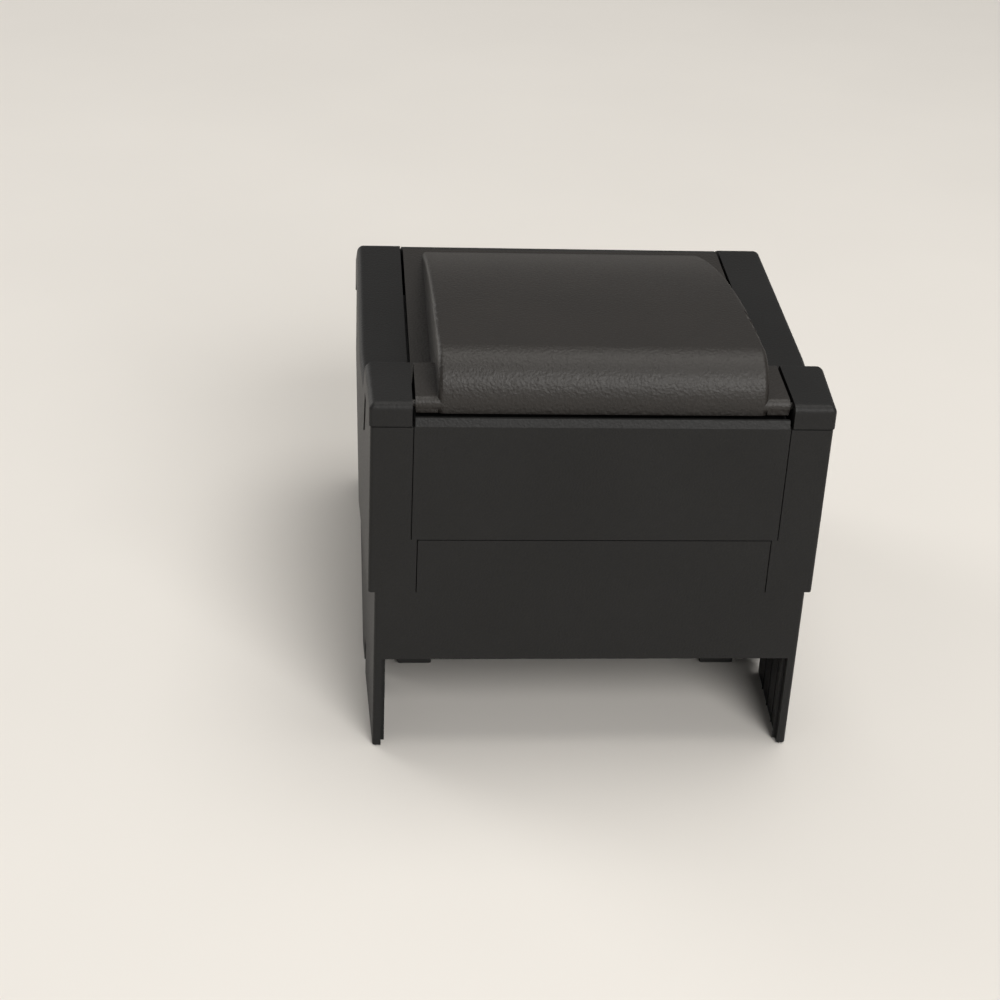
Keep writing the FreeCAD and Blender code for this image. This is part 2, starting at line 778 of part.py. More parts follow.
def front_panel():
    """Control strip across the front, with openings for the feed button and the indicators."""
    face = block(span(0, PANEL_HALF), (PANEL_BACK, DEPTH), (FRONT_PANEL_BOTTOM, FRONT_PANEL_TOP))
    behind = (PANEL_BACK - TAB_WALL, PANEL_BACK)
    tab_z = (FRONT_PANEL_BOTTOM + WALL, seam_front_z() - FRONT_TAB_DROP)
    tabs = block(span(0, PANEL_HALF + PANEL_SEAM + PANEL_TAB), behind, tab_z)
    post_x = span(PANEL_BOARD_HALF - PANEL_POST_INSET, PANEL_POST_HALF)
    post = block(post_x, (PANEL_BOARD_DEPTH, PANEL_BACK), span(PANEL_MID_Z, PANEL_POST_HALF))
    panel = fused([face, tabs] + both_sides(post)).cut(feed_opening())
    through = (PANEL_BACK - TAB_WALL - BITE, DEPTH + BITE)
    return cut_all(panel, [lens_bar(x, RUNNING, through) for x in lens_places()])


def feed_opening():
    """Window for the feed button, wider behind the face for its flange."""
    half = FEED_HALF + BUTTON_GAP
    tall = FEED_HEIGHT / 2 + BUTTON_GAP
    wide = half + BUTTON_FLANGE + BUTTON_GAP
    high = tall + BUTTON_FLANGE + BUTTON_GAP
    start = PANEL_BACK - TAB_WALL - BITE
    hole = block(span(FEED_X, half), (start, DEPTH + BITE), span(PANEL_MID_Z, tall))
    return hole.fuse(block(span(FEED_X, wide), (start, PANEL_BACK), span(PANEL_MID_Z, high)))


def lens_places():
    return [LENS_X + LENS_PITCH * (i - (LENS_COUNT - 1) / 2) for i in range(LENS_COUNT)]


def lens_bar(x, extra, depth):
    return block(span(x, LENS_HALF + extra), depth, span(PANEL_MID_Z, LENS_HEIGHT / 2 + extra))


def rail_corners(inset):
    """Top line of the rails seen from the side: hinge block, ramp, arm, and front slope."""
    block_end = BLOCK_DEPTH - inset
    return [
        (inset, BLOCK_REAR_Z - inset),
        (block_end, block_z(block_end) - inset),
        (ARM_START_DEPTH - inset, ARM_START_Z - inset),
        (CREST_DEPTH, CREST_Z - inset),
        (DEPTH - inset, slope_z(DEPTH - inset) - inset),
    ]


def upper_case():
    """Two rails, hollow from below, joined by a cross bar under the cutter cover."""
    corners = rail_corners(0.0)
    rounds = (BLOCK_EDGE_R, ARM_ROOT_R, CREST_R)
    bends = [point + (radius,) for point, radius in zip(corners[1:], rounds)]
    top = corners[:1] + bends + corners[-1:]
    plan = case_plan(UPPER_HALF, 0, DEPTH, FRONT_CORNER_R)
    outer = side_prism([(0, STEP_Z)] + top + [(DEPTH, STEP_Z)], *span(0, UPPER_HALF))
    outer = round_top_edges(outer.common(plan_prism(plan, STEP_Z, DOME_CREST_Z)))
    middle = block(span(0, RAIL_X), (-BITE, DEPTH + BITE), (0, DOME_CREST_Z))
    rails = outer.cut(middle).cut(rail_hollow()).common(seam_cut(0.0))
    bar_depth = (PANEL_BACK - CROSS_BAR_DEPTH, PANEL_BACK)
    bar_z = (FRONT_PANEL_TOP + SEAM, FRONT_PANEL_TOP + SEAM + CROSS_BAR_HEIGHT)
    bar = block(span(0, RAIL_X + UPPER_WALL / 2), bar_depth, bar_z)
    boss_end = RAIL_X + HINGE_PIN_LENGTH / 2
    boss = rod_x(HINGE_PIN_R + HINGE_BOSS_WALL, RAIL_X, boss_end, HINGE_DEPTH, HINGE_Z)
    case = fused([rails, bar] + both_sides(boss))
    pin_room = hinge_rod(HINGE_PIN_R + RUNNING, BITE)
    return cut_all(case, [deck_room(), release_opening()] + both_sides(pin_room))


def rail_hollow():
    inside = UPPER_HALF - UPPER_WALL
    plan = case_plan(inside, UPPER_WALL, DEPTH - UPPER_WALL, FRONT_CORNER_R - UPPER_WALL)
    line = [(UPPER_WALL, STEP_Z)] + rail_corners(UPPER_WALL) + [(DEPTH - UPPER_WALL, STEP_Z)]
    hollow = side_prism(line, *span(0, inside)).common(plan_prism(plan, STEP_Z, DOME_CREST_Z))
    return hollow.cut(block(span(0, RAIL_X + UPPER_WALL), (0, DEPTH), (0, DOME_CREST_Z)))


def deck_room():
    """Room for the edges of the bin's deck, which lie under the rails."""
    depth = (SEAM_DROP_START, DECK_FRONT_DEPTH + SEAM)
    return block(span(0, DECK_HALF + SEAM / 2), depth, (0, DECK_Z))


def round_top_edges(shape):
    """Rounds the outer top edge of the rails, along both sides and round all the corners."""
    def on_side(edge):
        middle = edge.valueAt((edge.FirstParameter + edge.LastParameter) / 2)
        depth = REAR_Y - middle.y
        high = edge.BoundBox.ZMin > seam_front_z() + TOP_EDGE_R
        within = REAR_CORNER_R < depth < DEPTH - FRONT_CORNER_R
        return high and within and abs(abs(middle.x) - side_x(UPPER_HALF, depth)) < RUNNING
    return shape.makeFillet(TOP_EDGE_R, [edge for edge in shape.Edges if on_side(edge)])


def hinge_rod(radius, extra):
    start = LID_HALF - HINGE_PIN_LENGTH / 2 + PANEL_GAP / 2
    return rod_x(radius, start, start + HINGE_PIN_LENGTH + extra, HINGE_DEPTH, HINGE_Z)


def hinge_pins():
    return Part.makeCompound(both_sides(hinge_rod(HINGE_PIN_R, 0.0)))


def on_release(shape):
    return tilted(shape, FRONT_SLOPE, RELEASE_DEPTH, slope_z(RELEASE_DEPTH))


def release_opening():
    half = RELEASE_HALF + BUTTON_GAP
    long = RELEASE_LENGTH / 2 + BUTTON_GAP
    return on_release(local_block(span(RELEASE_X, half), span(0, long), span(0, 2 * UPPER_WALL)))


def release_button():
    """Push button on the slope of the right rail, kept in by a flange under the skin."""
    x = RELEASE_X
    long = RELEASE_LENGTH / 2
    flange_top = -UPPER_WALL - BUTTON_GAP
    flange_bottom = flange_top - RELEASE_FLANGE
    cap = local_block(span(x, RELEASE_HALF), span(0, long), (flange_top - BITE, RELEASE_PROUD))
    top = [edge for edge in cap.Edges if edge.BoundBox.ZMin > RELEASE_PROUD - RUNNING]
    cap = cap.makeFillet(RELEASE_EDGE_R, top)
    wide = RELEASE_HALF + RELEASE_SIDE_FLANGE
    flange = local_block(span(x, wide), span(0, long + BUTTON_FLANGE), (flange_bottom, flange_top))
    stem_up = (flange_bottom - RELEASE_STEM, flange_top)
    stem = local_block(span(x, RELEASE_STEM_HALF), span(0, RELEASE_STEM_HALF), stem_up)
    return on_release(fused([cap, flange, stem]))


def dome_radius():
    """Radius of the long arc that falls from the dome's crest to the lid's front edge."""
    reach = LID_FRONT_DEPTH - DOME_CREST_DEPTH
    drop = DOME_CREST_Z - arm_z(LID_FRONT_DEPTH) + DOME_FRONT_SINK
    return (reach ** 2 + drop ** 2) / (2 * drop)


def dome_items(inset, floor):
    """Side outline of the dome: rear wall, tight rear roll-over, then one long arc to the front."""
    rear = LID_REAR_DEPTH + inset
    front = LID_FRONT_DEPTH - inset
    small = DOME_REAR_R - inset
    large = dome_radius() - inset
    centre_z = DOME_CREST_Z - dome_radius()
    small_depth = LID_REAR_DEPTH + DOME_REAR_R
    apart = dome_radius() - DOME_REAR_R
    lean = math.asin((DOME_CREST_DEPTH - small_depth) / apart)
    small_z = centre_z + apart * math.cos(lean)
    turn = (math.pi / 2 - lean) / 2

    def on_large(depth):
        return centre_z + math.sqrt(large ** 2 - (depth - DOME_CREST_DEPTH) ** 2)

    join = (small_depth - small * math.sin(lean), small_z + small * math.cos(lean))
    knee = (small_depth - small * math.cos(turn), small_z + small * math.sin(turn))
    middle = (join[0] + front) / 2
    return [
        (rear, floor),
        (rear, small_z),
        (*knee, *join),
        (middle, on_large(middle), front, on_large(front)),
        (front, floor),
    ]


def flange_under():
    """Underside of the lid from its front edge back to its rear edge."""
    return [
        (LID_FRONT_DEPTH, arm_z(LID_FRONT_DEPTH) - FLANGE_WALL),
        (ARM_START_DEPTH + BITE, ARM_START_Z - FLANGE_WALL, FLANGE_KNEE_R),
        (ARM_START_DEPTH - FLANGE_KNEE, LID_REAR_Z),
    ]


def roll_cover():
    """Domed lid with side flanges that carry on the line of the rails, hollow from below."""
    dome = side_prism(dome_items(0.0, LID_REAR_Z)[:-1] + flange_under(), *span(0, DOME_HALF))
    sides = [edge for edge in dome.Edges if edge.BoundBox.XLength < RUNNING]
    dome = dome.makeFillet(DOME_EDGE_R, [e for e in sides if e.BoundBox.ZMax > BLOCK_FRONT_Z + BITE])
    low = KNUCKLE_R * math.sqrt(0.5)
    knuckle_end = HINGE_DEPTH + 2 * KNUCKLE_R
    flange = side_prism([
        (LID_REAR_DEPTH, HINGE_Z),
        (LID_REAR_DEPTH, block_z(LID_REAR_DEPTH), TOP_EDGE_R),
        (BLOCK_DEPTH, BLOCK_FRONT_Z, BLOCK_EDGE_R),
        (ARM_START_DEPTH, ARM_START_Z, ARM_ROOT_R),
        (LID_FRONT_DEPTH, arm_z(LID_FRONT_DEPTH)),
    ] + flange_under() + [
        (knuckle_end, LID_REAR_Z),
        (HINGE_DEPTH, HINGE_Z - KNUCKLE_R),
        (HINGE_DEPTH - low, HINGE_Z - low, HINGE_DEPTH - KNUCKLE_R, HINGE_Z),
    ], *span(0, LID_HALF))
    hollow = side_prism(dome_items(LID_WALL, SEAM_LOW_Z), *span(0, DOME_HALF - LID_WALL))
    pocket_x = (DOME_HALF + LID_WALL / 2, LID_HALF - LID_WALL)
    pocket_z = (LID_REAR_Z - BITE, BLOCK_REAR_Z - LID_WALL)
    pocket = block(pocket_x, (knuckle_end, BLOCK_DEPTH - BITE), pocket_z)
    pin = hinge_rod(HINGE_PIN_R, 0.0)
    return cut_all(dome.fuse(flange), [hollow] + both_sides(pocket) + both_sides(pin))


def head_point():
    """Depth and height of the print line on the head's face."""
    reach = PLATEN_R + HEAD_GAP
    lean = math.radians(HEAD_LEAN)
    return PLATEN_DEPTH + reach * math.cos(lean), PLATEN_Z - reach * math.sin(lean)


def cut_point():
    """Depth and height where the paper crosses the cutter."""
    depth, z = head_point()
    return depth + CUT_LEVEL * math.tan(math.radians(HEAD_LEAN)), z + CUT_LEVEL


def on_cutter(shape):
    return tilted(shape, FRONT_SLOPE, *cut_point())


def on_head(shape):
    return tilted(shape, HEAD_LEAN, *head_point())


def platen_carrier():
    """Ribbed frame inside the lid's front end, with cheeks for the platen bushes."""
    reach = CHEEK_X + CHEEK_WALL
    beam_top = -BLADE_CLEARANCE - BLADE_WALL
    tail = -FIXED_EDGE - FIXED_LENGTH
    beam_ahead = (tail - BEAM_TAIL, -FIXED_EDGE - BEAM_SET_BACK)
    beam = on_cutter(local_block(span(0, reach), beam_ahead, (beam_top - BEAM_WALL, beam_top)))
    front = PLATEN_DEPTH + BUSH_R + CHEEK_RIM
    rear = PLATEN_DEPTH - BUSH_R - CHEEK_TAIL
    low = PLATEN_Z - BUSH_R - CHEEK_RIM
    cheek = side_prism([
        (rear, PLATEN_Z + CHEEK_LIFT),
        (PLATEN_DEPTH - BUSH_R, low),
        (front, low),
        (front, PLATEN_Z + BUSH_R),
        (front - BITE, DOME_CREST_Z),
        (rear, DOME_CREST_Z),
    ], CHEEK_X, reach)
    rib_z = (PLATEN_Z + PLATEN_R + PLATEN_ROOM, DOME_CREST_Z)
    webs = both_sides(cheek)
    for x in CARRIER_RIB_X:
        webs += both_sides(block(span(x, CARRIER_RIB / 2), (rear, PLATEN_DEPTH), rib_z))
    room = side_prism(dome_items(LID_WALL + RUNNING, FRAME_Z), *span(0, DOME_HALF))
    blade_room = on_cutter(local_block(span(0, DOME_HALF), (tail, BLADE_LENGTH), (beam_top, BLADE_LENGTH)))
    frame = fused([beam.common(room)] + [web.common(room).cut(blade_room) for web in webs])
    bore = rod_x(BUSH_R + PRESS, CHEEK_X - BITE, reach + BITE, PLATEN_DEPTH, PLATEN_Z)
    sweep = rod_x(PLATEN_R + PLATEN_ROOM, -CHEEK_X, CHEEK_X, PLATEN_DEPTH, PLATEN_Z)
    return cut_all(frame, both_sides(bore) + [sweep])


def platen_bushes():
    """Bushes: each passes through a cheek of the lid into the open seat in a side plate."""
    bush = rod_x(BUSH_R, CHEEK_X, PLATE_OUT, PLATEN_DEPTH, PLATEN_Z)
    bore = rod_x(SHAFT_R + RUNNING, CHEEK_X - BITE, PLATE_OUT + BITE, PLATEN_DEPTH, PLATEN_Z)
    return Part.makeCompound(both_sides(bush.cut(bore)))


def platen_roller():
    sleeve = rod_x(PLATEN_R, *span(0, PAPER_HALF), PLATEN_DEPTH, PLATEN_Z)
    return sleeve.cut(rod_x(SHAFT_R + PRESS, *span(0, PAPER_HALF + BITE), PLATEN_DEPTH, PLATEN_Z))


def platen_shaft():
    end = GEAR_X + GEAR_WIDTH + GEAR_END
    return rod_x(SHAFT_R, -PLATE_OUT - SHAFT_END, end, PLATEN_DEPTH, PLATEN_Z)


def involute(radius, base):
    angle = math.acos(min(1.0, base / radius))
    return math.tan(angle) - angle


def gear_face(teeth, module, turn):
    """Involute gear outline with straight flanks and one tooth centred on the angle turn."""
    pitch = teeth * module / 2
    base = pitch * math.cos(math.radians(PRESSURE_ANGLE))
    tip = pitch + module * TOOTH_TIP
    root = pitch - module * TOOTH_ROOT
    half = math.pi / (2 * teeth) - BACKLASH / (4 * pitch) + involute(pitch, base)
    root_half = half - involute(max(base, root), base)
    tip_half = half - involute(tip, base)
    points = []
    for i in range(teeth):
        centre = turn + 2 * math.pi * i / teeth
        for radius, shift in ((root, -root_half), (tip, -tip_half), (tip, tip_half), (root, root_half)):
            points.append((radius * math.cos(centre + shift), radius * math.sin(centre + shift)))
    return Part.Face(outline(points, lambda u, v: V(u, v, 0)))


def gear_x(teeth, turn, depth, z, bore):
    """Gear on a crosswise axis; turn is measured from forwards towards up."""
    disc = gear_face(teeth, GEAR_MODULE, turn).extrude(V(0, 0, GEAR_WIDTH))
    disc = disc.cut(Part.makeCylinder(bore, GEAR_WIDTH + 2 * BITE, V(0, 0, -BITE)))
    axes = FreeCAD.Matrix(0, 0, -1, GEAR_X + GEAR_WIDTH, -1, 0, 0, y_at(depth), 0, 1, 0, z, 0, 0, 0, 1)
    disc.Placement = FreeCAD.Placement(axes).multiply(disc.Placement)
    return disc


def lift_angle():
    """Direction, from forwards towards up, in which the platen leaves its seat as the lid opens."""
    return math.atan2(PLATEN_Z - HINGE_Z, PLATEN_DEPTH - HINGE_DEPTH) + math.pi / 2


def idler_place():
    reach = GEAR_MODULE * (PLATEN_TEETH + IDLER_TEETH) / 2
    return PLATEN_DEPTH - reach * math.cos(lift_angle()), PLATEN_Z - reach * math.sin(lift_angle())


def pinion_place():
    reach = GEAR_MODULE * (PINION_TEETH + IDLER_TEETH) / 2
    angle = math.radians(-PINION_BEARING)
    depth, z = idler_place()
    return depth + reach * math.cos(angle), z + reach * math.sin(angle)


def platen_gear():
    turn = lift_angle() + math.pi
    return gear_x(PLATEN_TEETH, turn, PLATEN_DEPTH, PLATEN_Z, SHAFT_R + PRESS)


def idler_gear():
    """Idler: a gap faces the platen gear's tooth."""
    turn = lift_angle() + math.pi / IDLER_TEETH
    return gear_x(IDLER_TEETH, turn, *idler_place(), STUD_R + RUNNING)


def motor_pinion():
    """Pinion, turned so that it meshes with the idler where the idler stands."""
    angle = math.radians(-PINION_BEARING)
    idler_turn = lift_angle() + math.pi / IDLER_TEETH
    phase = (angle - idler_turn) * IDLER_TEETH / PINION_TEETH
    turn = angle + math.pi + math.pi / PINION_TEETH + phase
    return gear_x(PINION_TEETH, turn, *pinion_place(), MOTOR_SHAFT_R + PRESS)


def idler_stud():
    """Stud riveted into the right side plate, with a retaining head."""
    end = GEAR_X + GEAR_WIDTH + SEAM
    stud = rod_x(STUD_R, PLATE_X, end, *idler_place())
    return stud.fuse(rod_x(STUD_HEAD_R, end, end + STUD_HEAD, *idler_place()))


def motor_ears():
    depth, z = pinion_place()
    return [(depth - MOTOR_EAR_REACH, z), (depth + MOTOR_EAR_REACH, z)]


def feed_motor():
    """Can motor with a screw strap, hung inside the right side plate."""
    depth, z = pinion_place()
    rear_x = PLATE_X - MOTOR_LENGTH
    can = rod_x(MOTOR_R, rear_x, PLATE_X, depth, z)
    rim = [edge for edge in can.Edges if edge.BoundBox.XMax < rear_x + RUNNING]
    can = can.makeChamfer(MOTOR_CHAMFER, rim)
    shaft = rod_x(MOTOR_SHAFT_R, PLATE_X - BITE, GEAR_X + GEAR_WIDTH + GEAR_END, depth, z)
    strap_depth = span(depth, MOTOR_EAR_REACH + MOTOR_EAR_HALF)
    strap = block((PLATE_X - MOTOR_EAR_WALL, PLATE_X), strap_depth, span(z, MOTOR_EAR_HALF))
    holes = [side_screw_hole(*span(PLATE_X, MOTOR_EAR_WALL + BITE), *ear) for ear in motor_ears()]
    return cut_all(fused([can, shaft, strap]), holes)


def hexagon(radius, z0, z1):
    corners = [(radius * math.cos(math.pi * i / 3), radius * math.sin(math.pi * i / 3)) for i in range(6)]
    wire = outline(corners, lambda u, v: V(u, v, z0))
    return Part.Face(wire).extrude(V(0, 0, z1 - z0))


def screw_hole(z0, z1, x, depth):
    """Lobed pilot hole for a thread-forming screw that is driven downwards."""
    return hexagon(SCREW_R, z0, z1).translate(V(x, y_at(depth), 0))


def side_screw_hole(x0, x1, depth, z):
    hole = hexagon(SCREW_R, x0, x1)
    hole.rotate(V(0, 0, 0), V(0, 1, 0), 90)
    return hole.translate(V(0, y_at(depth), z))


def screw(length):
    """Thread-forming screw along its own axis, with its hexagon head seated at the origin."""
    return hexagon(SCREW_HEAD_R, 0, SCREW_HEAD).fuse(hexagon(SCREW_R - RUNNING, -length, 0))


def screws_down(places, z, length):
    solids = []
    for x, depth in places:
        solids.append(screw(length).translate(V(x, y_at(depth), z)))
    return Part.makeCompound(solids)


def mechanism_screws():
    return screws_down(frame_screw_places(), FRAME_Z + FRAME_WALL, SCREW_GRIP + FRAME_WALL)


def board_screws():
    return screws_down(board_screw_places(), BOARD_TOP, SCREW_GRIP)


def motor_screws():
    """Screws through the right side plate into the motor's strap."""
    solids = []
    for depth, z in motor_ears():
        fixing = screw(FRAME_WALL + MOTOR_SCREW_GRIP)
        fixing.rotate(V(0, 0, 0), V(0, 1, 0), 90)
        solids.append(fixing.translate(V(PLATE_OUT, y_at(depth), z)))
    return Part.makeCompound(solids)


def cutter_screws():
    solids = []
    for x, forward in cutter_screw_places():
        fixing = screw(CUTTER_PLATE_WALL + CUTTER_SCREW_GRIP)
        solids.append(on_cutter(fixing.translate(V(x, -forward, -BLADE_CLEARANCE))))
    return Part.makeCompound(solids)


def frame_side():
    """Side plate: open seat for the platen bush, and a top edge along the front slope."""
    cut_depth, cut_z = cut_point()
    slope = math.radians(FRONT_SLOPE)
    under = (BLADE_CLEARANCE + CUTTER_PLATE_WALL) / math.cos(slope)

    def rest(depth):
        return cut_z - (depth - cut_depth) * math.tan(slope) - under

    start = cut_depth + CUTTER_PLATE_START
    top = PLATEN_Z + FRAME_RISE
    plate = side_prism([
        (FRAME_REAR_DEPTH, FRAME_Z),
        (FRAME_REAR_DEPTH, top),
        (start, top),
        (start, rest(start)),
        (FRAME_FRONT_DEPTH, rest(FRAME_FRONT_DEPTH)),
        (FRAME_FRONT_DEPTH, FRAME_Z),
    ], PLATE_X, PLATE_OUT)
    hole_depth = (FRAME_REAR_DEPTH + FRAME_HOLE_START, FRAME_FRONT_DEPTH - FRAME_HOLE_END)
    hole_z = (FRAME_Z + FRAME_HOLE_RISE, FRAME_Z + FRAME_HOLE_RISE + FRAME_HOLE_HEIGHT)
    hole = block((PLATE_X - BITE, PLATE_OUT + BITE), hole_depth, hole_z)
    return cut_all(plate, [hole, bush_seat()])


def bush_seat():
    """Round seat that opens along the lid's path with flared flanks."""
    radius = BUSH_R + SEAT_CLEARANCE
    x = (PLATE_X - BITE, PLATE_OUT + BITE)
    lift = lift_angle()
    spread = SEAT_REACH * math.tan(math.radians(SEAT_FLARE))

    def corner(along, wide):
        depth = PLATEN_DEPTH + along * math.cos(lift) + wide * math.sin(lift)
        return depth, PLATEN_Z + along * math.sin(lift) - wide * math.cos(lift)

    mouth = side_prism([
        corner(0, radius),
        corner(SEAT_REACH, radius + spread),
        corner(SEAT_REACH, -radius - spread),
        corner(0, -radius),
    ], *x)
    return rod_x(radius, *x, PLATEN_DEPTH, PLATEN_Z).fuse(mouth)


def shelf_forward():
    """Distance from the head's face to the shelf that its springs lie on."""
    return HEAD_BACK + SPRING_PLAY + SPRING_BOW


def mechanism_frame():
    """Folded steel frame: floor, two side plates and the cross shelf for the head springs."""
    floor_depth = (FRAME_REAR_DEPTH, FRAME_FRONT_DEPTH)
    floor = block(span(0, PLATE_OUT), floor_depth, (FRAME_Z, FRAME_Z + FRAME_WALL))
    shelf_ahead = (shelf_forward(), shelf_forward() + FRAME_WALL)
    shelf = on_head(local_block(span(0, PLATE_X + FRAME_WALL / 2), shelf_ahead, span(0, SHELF_HALF)))
    frame = fused([floor, shelf] + both_sides(frame_side()))
    through = (PLATE_X - BITE, PLATE_OUT + BITE)
    up = (FRAME_Z - BITE, FRAME_Z + FRAME_WALL + BITE)
    holes = [screw_hole(*up, x, depth) for x, depth in frame_screw_places()]
    holes += both_sides(rod_x(PIVOT_R, *through, *pivot_place()))
    holes += [rod_x(MOTOR_SHAFT_R + MOTOR_SHAFT_ROOM, *through, *pinion_place())]
    holes += [rod_x(STUD_R, *through, *idler_place())]
    holes += [side_screw_hole(*through, *ear) for ear in motor_ears()]
    return cut_all(frame, holes)


def pivot_place():
    """Depth and height of the shaft that the head rocks on."""
    lean = math.radians(HEAD_LEAN)
    depth, z = head_point()
    forward = HEAD_WALL + SINK_WALL / 2
    down = HEAD_DOWN + PIVOT_DROP
    return (depth + forward * math.cos(lean) - down * math.sin(lean),
            z - forward * math.sin(lean) - down * math.cos(lean))


def head_pivot_shaft():
    return rod_x(PIVOT_R, *span(0, PLATE_OUT), *pivot_place())


def thermal_head():
    """Ceramic print strip, with the raised cover over its driver chips."""
    strip = local_block(span(0, HEAD_HALF), (0, HEAD_WALL), (-HEAD_DOWN, HEAD_UP))
    driver_low = -HEAD_DOWN + DRIVER_RISE
    driver_up = (driver_low, driver_low + DRIVER_HEIGHT)
    driver = local_block(span(0, HEAD_HALF - DRIVER_INSET), (-DRIVER_PROUD, HEAD_WALL / 2), driver_up)
    return on_head(fused([strip, driver]))


def head_heat_sink():
    """Grooved aluminium bar behind the strip, with lugs round the pivot shaft."""
    ahead = (HEAD_WALL, HEAD_BACK)
    sink = local_block(span(0, HEAD_HALF), ahead, (-HEAD_DOWN, HEAD_UP))
    pitch = 2 * SPRING_X / (SINK_GROOVES - 1)
    groove_ahead = (HEAD_BACK - SINK_GROOVE_DEPTH, HEAD_BACK + BITE)
    groove_up = (-HEAD_DOWN - BITE, HEAD_UP + BITE)
    for i in range(SINK_GROOVES - 1):
        x = pitch * (i + 0.5) - SPRING_X
        sink = sink.cut(local_block(span(x, SINK_GROOVE_WIDTH / 2), groove_ahead, groove_up))
    lug_x = (HEAD_HALF - LUG_WIDTH, HEAD_HALF)
    web = local_block(lug_x, ahead, (-HEAD_DOWN - PIVOT_DROP, -HEAD_DOWN + LUG_LAP))
    lug = rod_x(PIVOT_R + LUG_WALL, *lug_x, *pivot_place())
    bore = rod_x(PIVOT_R + RUNNING, *span(0, HEAD_HALF + BITE), *pivot_place())
    webs = [on_head(side) for side in both_sides(web)]
    return fused([on_head(sink)] + webs + both_sides(lug)).cut(bore)


def head_springs():
    """Two bowed leaf springs that stand on the shelf and press the head to the platen."""
    foot = shelf_forward()
    crown = foot - SPRING_BOW
    inner_half = SPRING_HALF - SPRING_WALL
    bow = [
        (foot, -SPRING_HALF),
        (crown, 0, foot, SPRING_HALF),
        (foot, inner_half),
        (crown + SPRING_WALL, 0, foot, -inner_half),
    ]
    start = SPRING_X - SPRING_WIDTH / 2
    wire = outline(bow, lambda forward, up: V(start, -forward, up))
    leaf = Part.Face(wire).extrude(V(SPRING_WIDTH, 0, 0))
    return Part.makeCompound([on_head(side) for side in both_sides(leaf)])


def moving_blade():
    """Guillotine blade with a shallow vee edge that starts the cut at both ends."""
    rear = BLADE_REST + BLADE_LENGTH
    points = [
        (-BLADE_HALF, BLADE_REST),
        (0, BLADE_REST + BLADE_VEE),
        (BLADE_HALF, BLADE_REST),
        (BLADE_HALF, rear),
        (-BLADE_HALF, rear),
    ]
    return on_cutter(local_prism(points, 0, BLADE_WALL))


def blade_rack():
    """Slider on top of the blade, with straight-flanked rack teeth along its right edge."""
    pitch = math.pi * RACK_MODULE
    lean = math.tan(math.radians(PRESSURE_ANGLE))
    rise = RACK_MODULE * TOOTH_TIP
    fall = RACK_MODULE * TOOTH_ROOT
    half = (pitch - BACKLASH) / 4
    first = CUTTER_GEAR_FORWARD - pitch * RACK_LEAD
    last = first + pitch * (RACK_TEETH - 0.5)
    root = RACK_HALF - fall
    points = [(-RACK_HALF, RACK_START), (root, RACK_START)]
    for i in range(RACK_TEETH):
        centre = first + pitch * i
        near, far = span(centre, half + fall * lean)
        near_tip, far_tip = span(centre, half - rise * lean)
        points += [(root, near), (RACK_HALF + rise, near_tip), (RACK_HALF + rise, far_tip), (root, far)]
    points += [(root, last), (-RACK_HALF, last)]
    return on_cutter(local_prism(points, BLADE_WALL, BLADE_WALL + RACK_HEIGHT))


def cutter_gear():
    """Gear on the cutter motor's shaft: a tooth faces a gap of the rack."""
    height = RACK_HEIGHT - CUTTER_GEAR_FLOAT
    disc = gear_face(CUTTER_GEAR_TEETH, RACK_MODULE, math.pi).extrude(V(0, 0, height))
    disc = disc.cut(Part.makeCylinder(CUTTER_SHAFT_R + PRESS, RACK_HEIGHT + 2 * BITE, V(0, 0, -BITE)))
    disc.translate(V(CUTTER_GEAR_X, -CUTTER_GEAR_FORWARD, BLADE_WALL + CUTTER_GEAR_FLOAT))
    return on_cutter(disc)


def cutter_screw_places():
    reach = CUTTER_MOTOR_R + CUTTER_EAR_GAP
    return [(CUTTER_GEAR_X + reach, CUTTER_GEAR_FORWARD), (CUTTER_GEAR_X, CUTTER_GEAR_FORWARD + reach)]


def cutter_screw_holes():
    up = (-CUTTER_MOTOR_LENGTH, BITE)
    return [hexagon(SCREW_R, *up).translate(V(x, -forward, 0)) for x, forward in cutter_screw_places()]


def cutter_frame():
    """Bed plate that the blade slides on, with a guide channel along each side."""
    under = -BLADE_CLEARANCE
    bed_ahead = (CUTTER_PLATE_START, CUTTER_PLATE_END)
    bed = local_block(span(0, PLATE_OUT), bed_ahead, (under - CUTTER_PLATE_WALL, under))
    side = BLADE_HALF + BLADE_SIDE_CLEARANCE
    rise = BLADE_WALL + BLADE_CLEARANCE
    guide_ahead = (CUTTER_PLATE_START, CUTTER_PLATE_START + BLADE_LENGTH)
    guide = local_block((side, side + GUIDE_WALL), guide_ahead, (under, rise))
    lip = local_block(span(side, GUIDE_WALL), guide_ahead, (rise, rise + GUIDE_LIP))
    bed = fused([bed] + both_sides(guide) + both_sides(lip))
    hole_up = (under - CUTTER_PLATE_WALL - BITE, BITE)
    shaft_hole_r = CUTTER_SHAFT_R + CUTTER_SHAFT_ROOM
    shaft_hole = local_rod(shaft_hole_r, CUTTER_GEAR_X, CUTTER_GEAR_FORWARD, *hole_up)
    return on_cutter(cut_all(bed, [shaft_hole] + cutter_screw_holes()))


